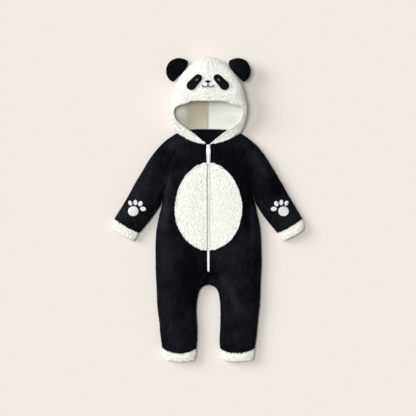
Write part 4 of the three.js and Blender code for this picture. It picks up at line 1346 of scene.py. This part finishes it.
@dataclass
class Zip:
    """The zip down the front: tapes, teeth, slider and pull tab."""

    nodes: dict[str, bpy.types.Object]
    wardrobe: Wardrobe
    pitch: float = 2.0
    tooth: tuple[float, float, float] = (3.1, 1.6, 1.9)
    tooth_shift: float = 0.95
    tooth_sink: float = 0.05
    tape_cut: tuple[float, float] = (0.010, 0.331)
    tape_area: float = 0.0033
    stitch_pitch: float = 3.0
    stitch_x: float = 7.2
    stitch_share: float = 0.72
    stitch_rise: float = 0.25
    stitch_radius: float = 0.28
    tooth_round: float = 0.22
    tape_round: float = 0.15

    def tape(self, side: str) -> None:
        """One woven tape, its edges rounded."""
        node = f"zip_tape_{side}"
        piece = Bench.copy_of(self.nodes[node], f"{node}_woven")
        Bench.round_edges(piece, self.tape_round, 2, 60)
        Bench.smooth(piece, 40)
        Bench.wear(piece, self.wardrobe.tape, WovenTape.slot)
        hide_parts(node)

    def chain_line(self) -> Points:
        """Places along the middle of the chain's top, one for each tooth."""
        node = self.nodes["zip_chain"]
        corners = Bench.points(node)
        tree = Bench.tree(node)
        low, high = corners[:, 1].min(), corners[:, 1].max()
        places = []
        for y in np.arange(high - 1.2, low + 1.0, -self.pitch / 2):
            hit = Bench.top_at(tree, 0.0, y)
            places.append(tuple(hit))
        return np.array(places)

    def one_tooth(self) -> tuple[Points, Points]:
        """A tooth modelled once: a block with bevelled edges."""
        bpy.ops.object.select_all(action="DESELECT")
        bpy.ops.mesh.primitive_cube_add(size=1.0, location=(0, 0, 0), scale=tuple(s * MM for s in self.tooth))
        tooth = bpy.context.active_object
        bpy.ops.object.transform_apply(location=False, rotation=False, scale=True)
        Bench.apply(tooth, "BEVEL", width=self.tooth_round * MM, segments=1, limit_method="NONE")
        Bench.apply(tooth, "TRIANGULATE")
        points = Bench.points(tooth)
        faces = np.array([tuple(p.vertices) for p in tooth.data.polygons])
        bpy.data.objects.remove(tooth)
        return points, faces

    def teeth(self) -> None:
        """All the teeth, from each side in turn, as one piece."""
        line = self.chain_line()
        points, faces = self.one_tooth()
        ways = np.where(np.arange(len(line)) % 2 == 0, 1.0, -1.0)
        shift = np.stack((self.tooth_shift * ways, line[:, 1], line[:, 2] - self.tooth_sink), axis=1)
        tiled = (points[None] + shift[:, None, :]).reshape(-1, 3)
        index = (faces[None] + len(points) * np.arange(len(line))[:, None, None]).reshape(-1, 3)
        piece = Bench.mesh_piece("zip_teeth", tiled, index)
        Bench.smooth(piece, 35)
        Bench.wear(piece, self.wardrobe.plastic, MouldedWhite.slot)
        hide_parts("zip_chain")
        LOG.info("zip: %d teeth", len(line))

    def hard_piece(self, node: str, body: str, width: float) -> None:
        """The slider or the pull, its edges rounded as moulded."""
        piece = Bench.copy_of(self.nodes[node], f"{node}_moulded")
        with Bench.editing(piece):
            bpy.ops.mesh.dissolve_limited(angle_limit=math.radians(2))
        Bench.round_edges(piece, width, 3, 30)
        Bench.smooth(piece, 40)
        Bench.wear(piece, self.wardrobe.plastic, MouldedWhite.slot, body)
        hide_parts(node)

    def topstitch(self) -> None:
        """A row of stitches down each edge of the opening, sewn through the front and the tape."""
        for side in SIDES:
            way = 1 if side == "left" else -1
            cloth = bpy.data.objects[f"front_{side}_cloth"]
            tree = Bench.tree(cloth)
            low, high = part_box("zip_chain")
            strands = []
            for y in np.arange(low.y / MM, high.y / MM, self.stitch_pitch):
                path = []
                for t in (0.0, 0.33, 0.66, 1.0):
                    place = (way * self.stitch_x, y + t * self.stitch_share * self.stitch_pitch)
                    hit = Bench.top_at(tree, *place)
                    if hit is not None:
                        rise = self.stitch_rise * math.sin(math.pi * t)
                        path.append(np.array(hit) + np.array((0, 0, rise)))
                if len(path) == 4:
                    strands.append(np.array(path))
            piece = tube_strands(f"zip_topstitch_{side}", strands, self.stitch_radius)
            Bench.wear(piece, self.wardrobe.black_thread, "black_thread")

    def build(self) -> None:
        """Makes the whole zip."""
        for side in SIDES:
            self.tape(side)
        self.teeth()
        self.topstitch()
        self.hard_piece("zip_slider", GARMENT, 0.35)
        self.hard_piece("zip_pull", "zip_pull", 0.3)
        LOG.info("zip: tapes, stitches, slider and pull")


# ---- studio ------------------------------------------------------------------------------------


@dataclass
class Studio:
    """The pale surface, the soft light from the upper left and the camera straight above."""

    view_wide: float = 1.0816
    lens: float = 600.0
    sensor: float = 36.0
    aim: tuple[float, float, float] = (-0.0010, 0.0009, 0.020)
    floor_colour: tuple[float, ...] = (0.775, 0.727, 0.685)
    key_from: tuple[float, float, float] = (-1.0, 0.40, 0.78)
    key_strength: float = 2.0
    key_angle: float = 34.0
    top_from: tuple[float, float, float] = (-0.17, 0.06, 1.0)
    top_strength: float = 1.75
    top_angle: float = 20.0
    world_colour: tuple[float, ...] = (1.0, 0.99, 0.975, 1.0)
    world_strength: float = 0.24

    def floor(self) -> None:
        """A wide plain surface, with the faint grain of paper."""
        bpy.ops.object.select_all(action="DESELECT")
        bpy.ops.mesh.primitive_plane_add(size=12.0, location=(0, 0, 0))
        floor = bpy.context.active_object
        floor.name = "floor"
        dye = Dye("pale_paper")
        grain = dye.noise(60.0, detail=4.0)
        shade = tuple(0.985 * c for c in self.floor_colour)
        dye.set(Base_Color=dye.ramp(grain, (0.3, shade), (0.7, self.floor_colour)), Roughness=0.95,
                Specular_IOR_Level=0.1)
        floor.data.materials.append(dye.material)

    def light(self) -> None:
        """Two soft lamps, from the upper left and from nearly straight above, and an even sky."""
        for way, strength, angle in ((self.key_from, self.key_strength, self.key_angle),
                                     (self.top_from, self.top_strength, self.top_angle)):
            bpy.ops.object.light_add(type="SUN", location=Vector(way) * 3)
            lamp = bpy.context.active_object
            lamp.data.energy = strength
            lamp.data.angle = math.radians(angle)
            lamp.rotation_euler = Vector(way).to_track_quat("Z", "Y").to_euler()
        world = bpy.data.worlds.new("soft_sky")
        world.use_nodes = True
        sky = world.node_tree.nodes["Background"]
        sky.inputs["Color"].default_value = self.world_colour
        sky.inputs["Strength"].default_value = self.world_strength
        bpy.context.scene.world = world
        bpy.context.scene.view_settings.view_transform = "Standard"

    def camera(self) -> None:
        """Straight down, far enough back for a flat perspective."""
        distance = self.view_wide * self.lens / self.sensor
        place = Vector(self.aim) + Vector((0, 0, distance))
        bpy.ops.object.camera_add(location=place, rotation=(0, 0, 0))
        camera = bpy.context.active_object
        camera.data.lens = self.lens
        camera.data.sensor_width = self.sensor
        camera.data.clip_end = 50.0
        bpy.context.scene.camera = camera

    def build(self) -> None:
        """Sets up the floor, the light and the camera."""
        self.floor()
        self.light()
        self.camera()
        LOG.info("studio: floor, light and camera")


def main() -> None:
    """Builds the jumpsuit on its frame, piece by piece."""
    logging.basicConfig(level=logging.INFO, format="%(name)s: %(message)s")
    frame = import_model()
    nodes = frame["nodes"]
    Studio().build()
    wardrobe = Wardrobe()
    body = Body(nodes, wardrobe)
    body.build()
    Sleeves(nodes, wardrobe).build()
    Cuffs(nodes, wardrobe).build()
    Hood(nodes, wardrobe).build()
    Ears(nodes, wardrobe).build()
    Belly(nodes, wardrobe, body).build()
    Motifs(nodes, wardrobe).build()
    Zip(nodes, wardrobe).build()


if __name__ == "__main__":
    main()
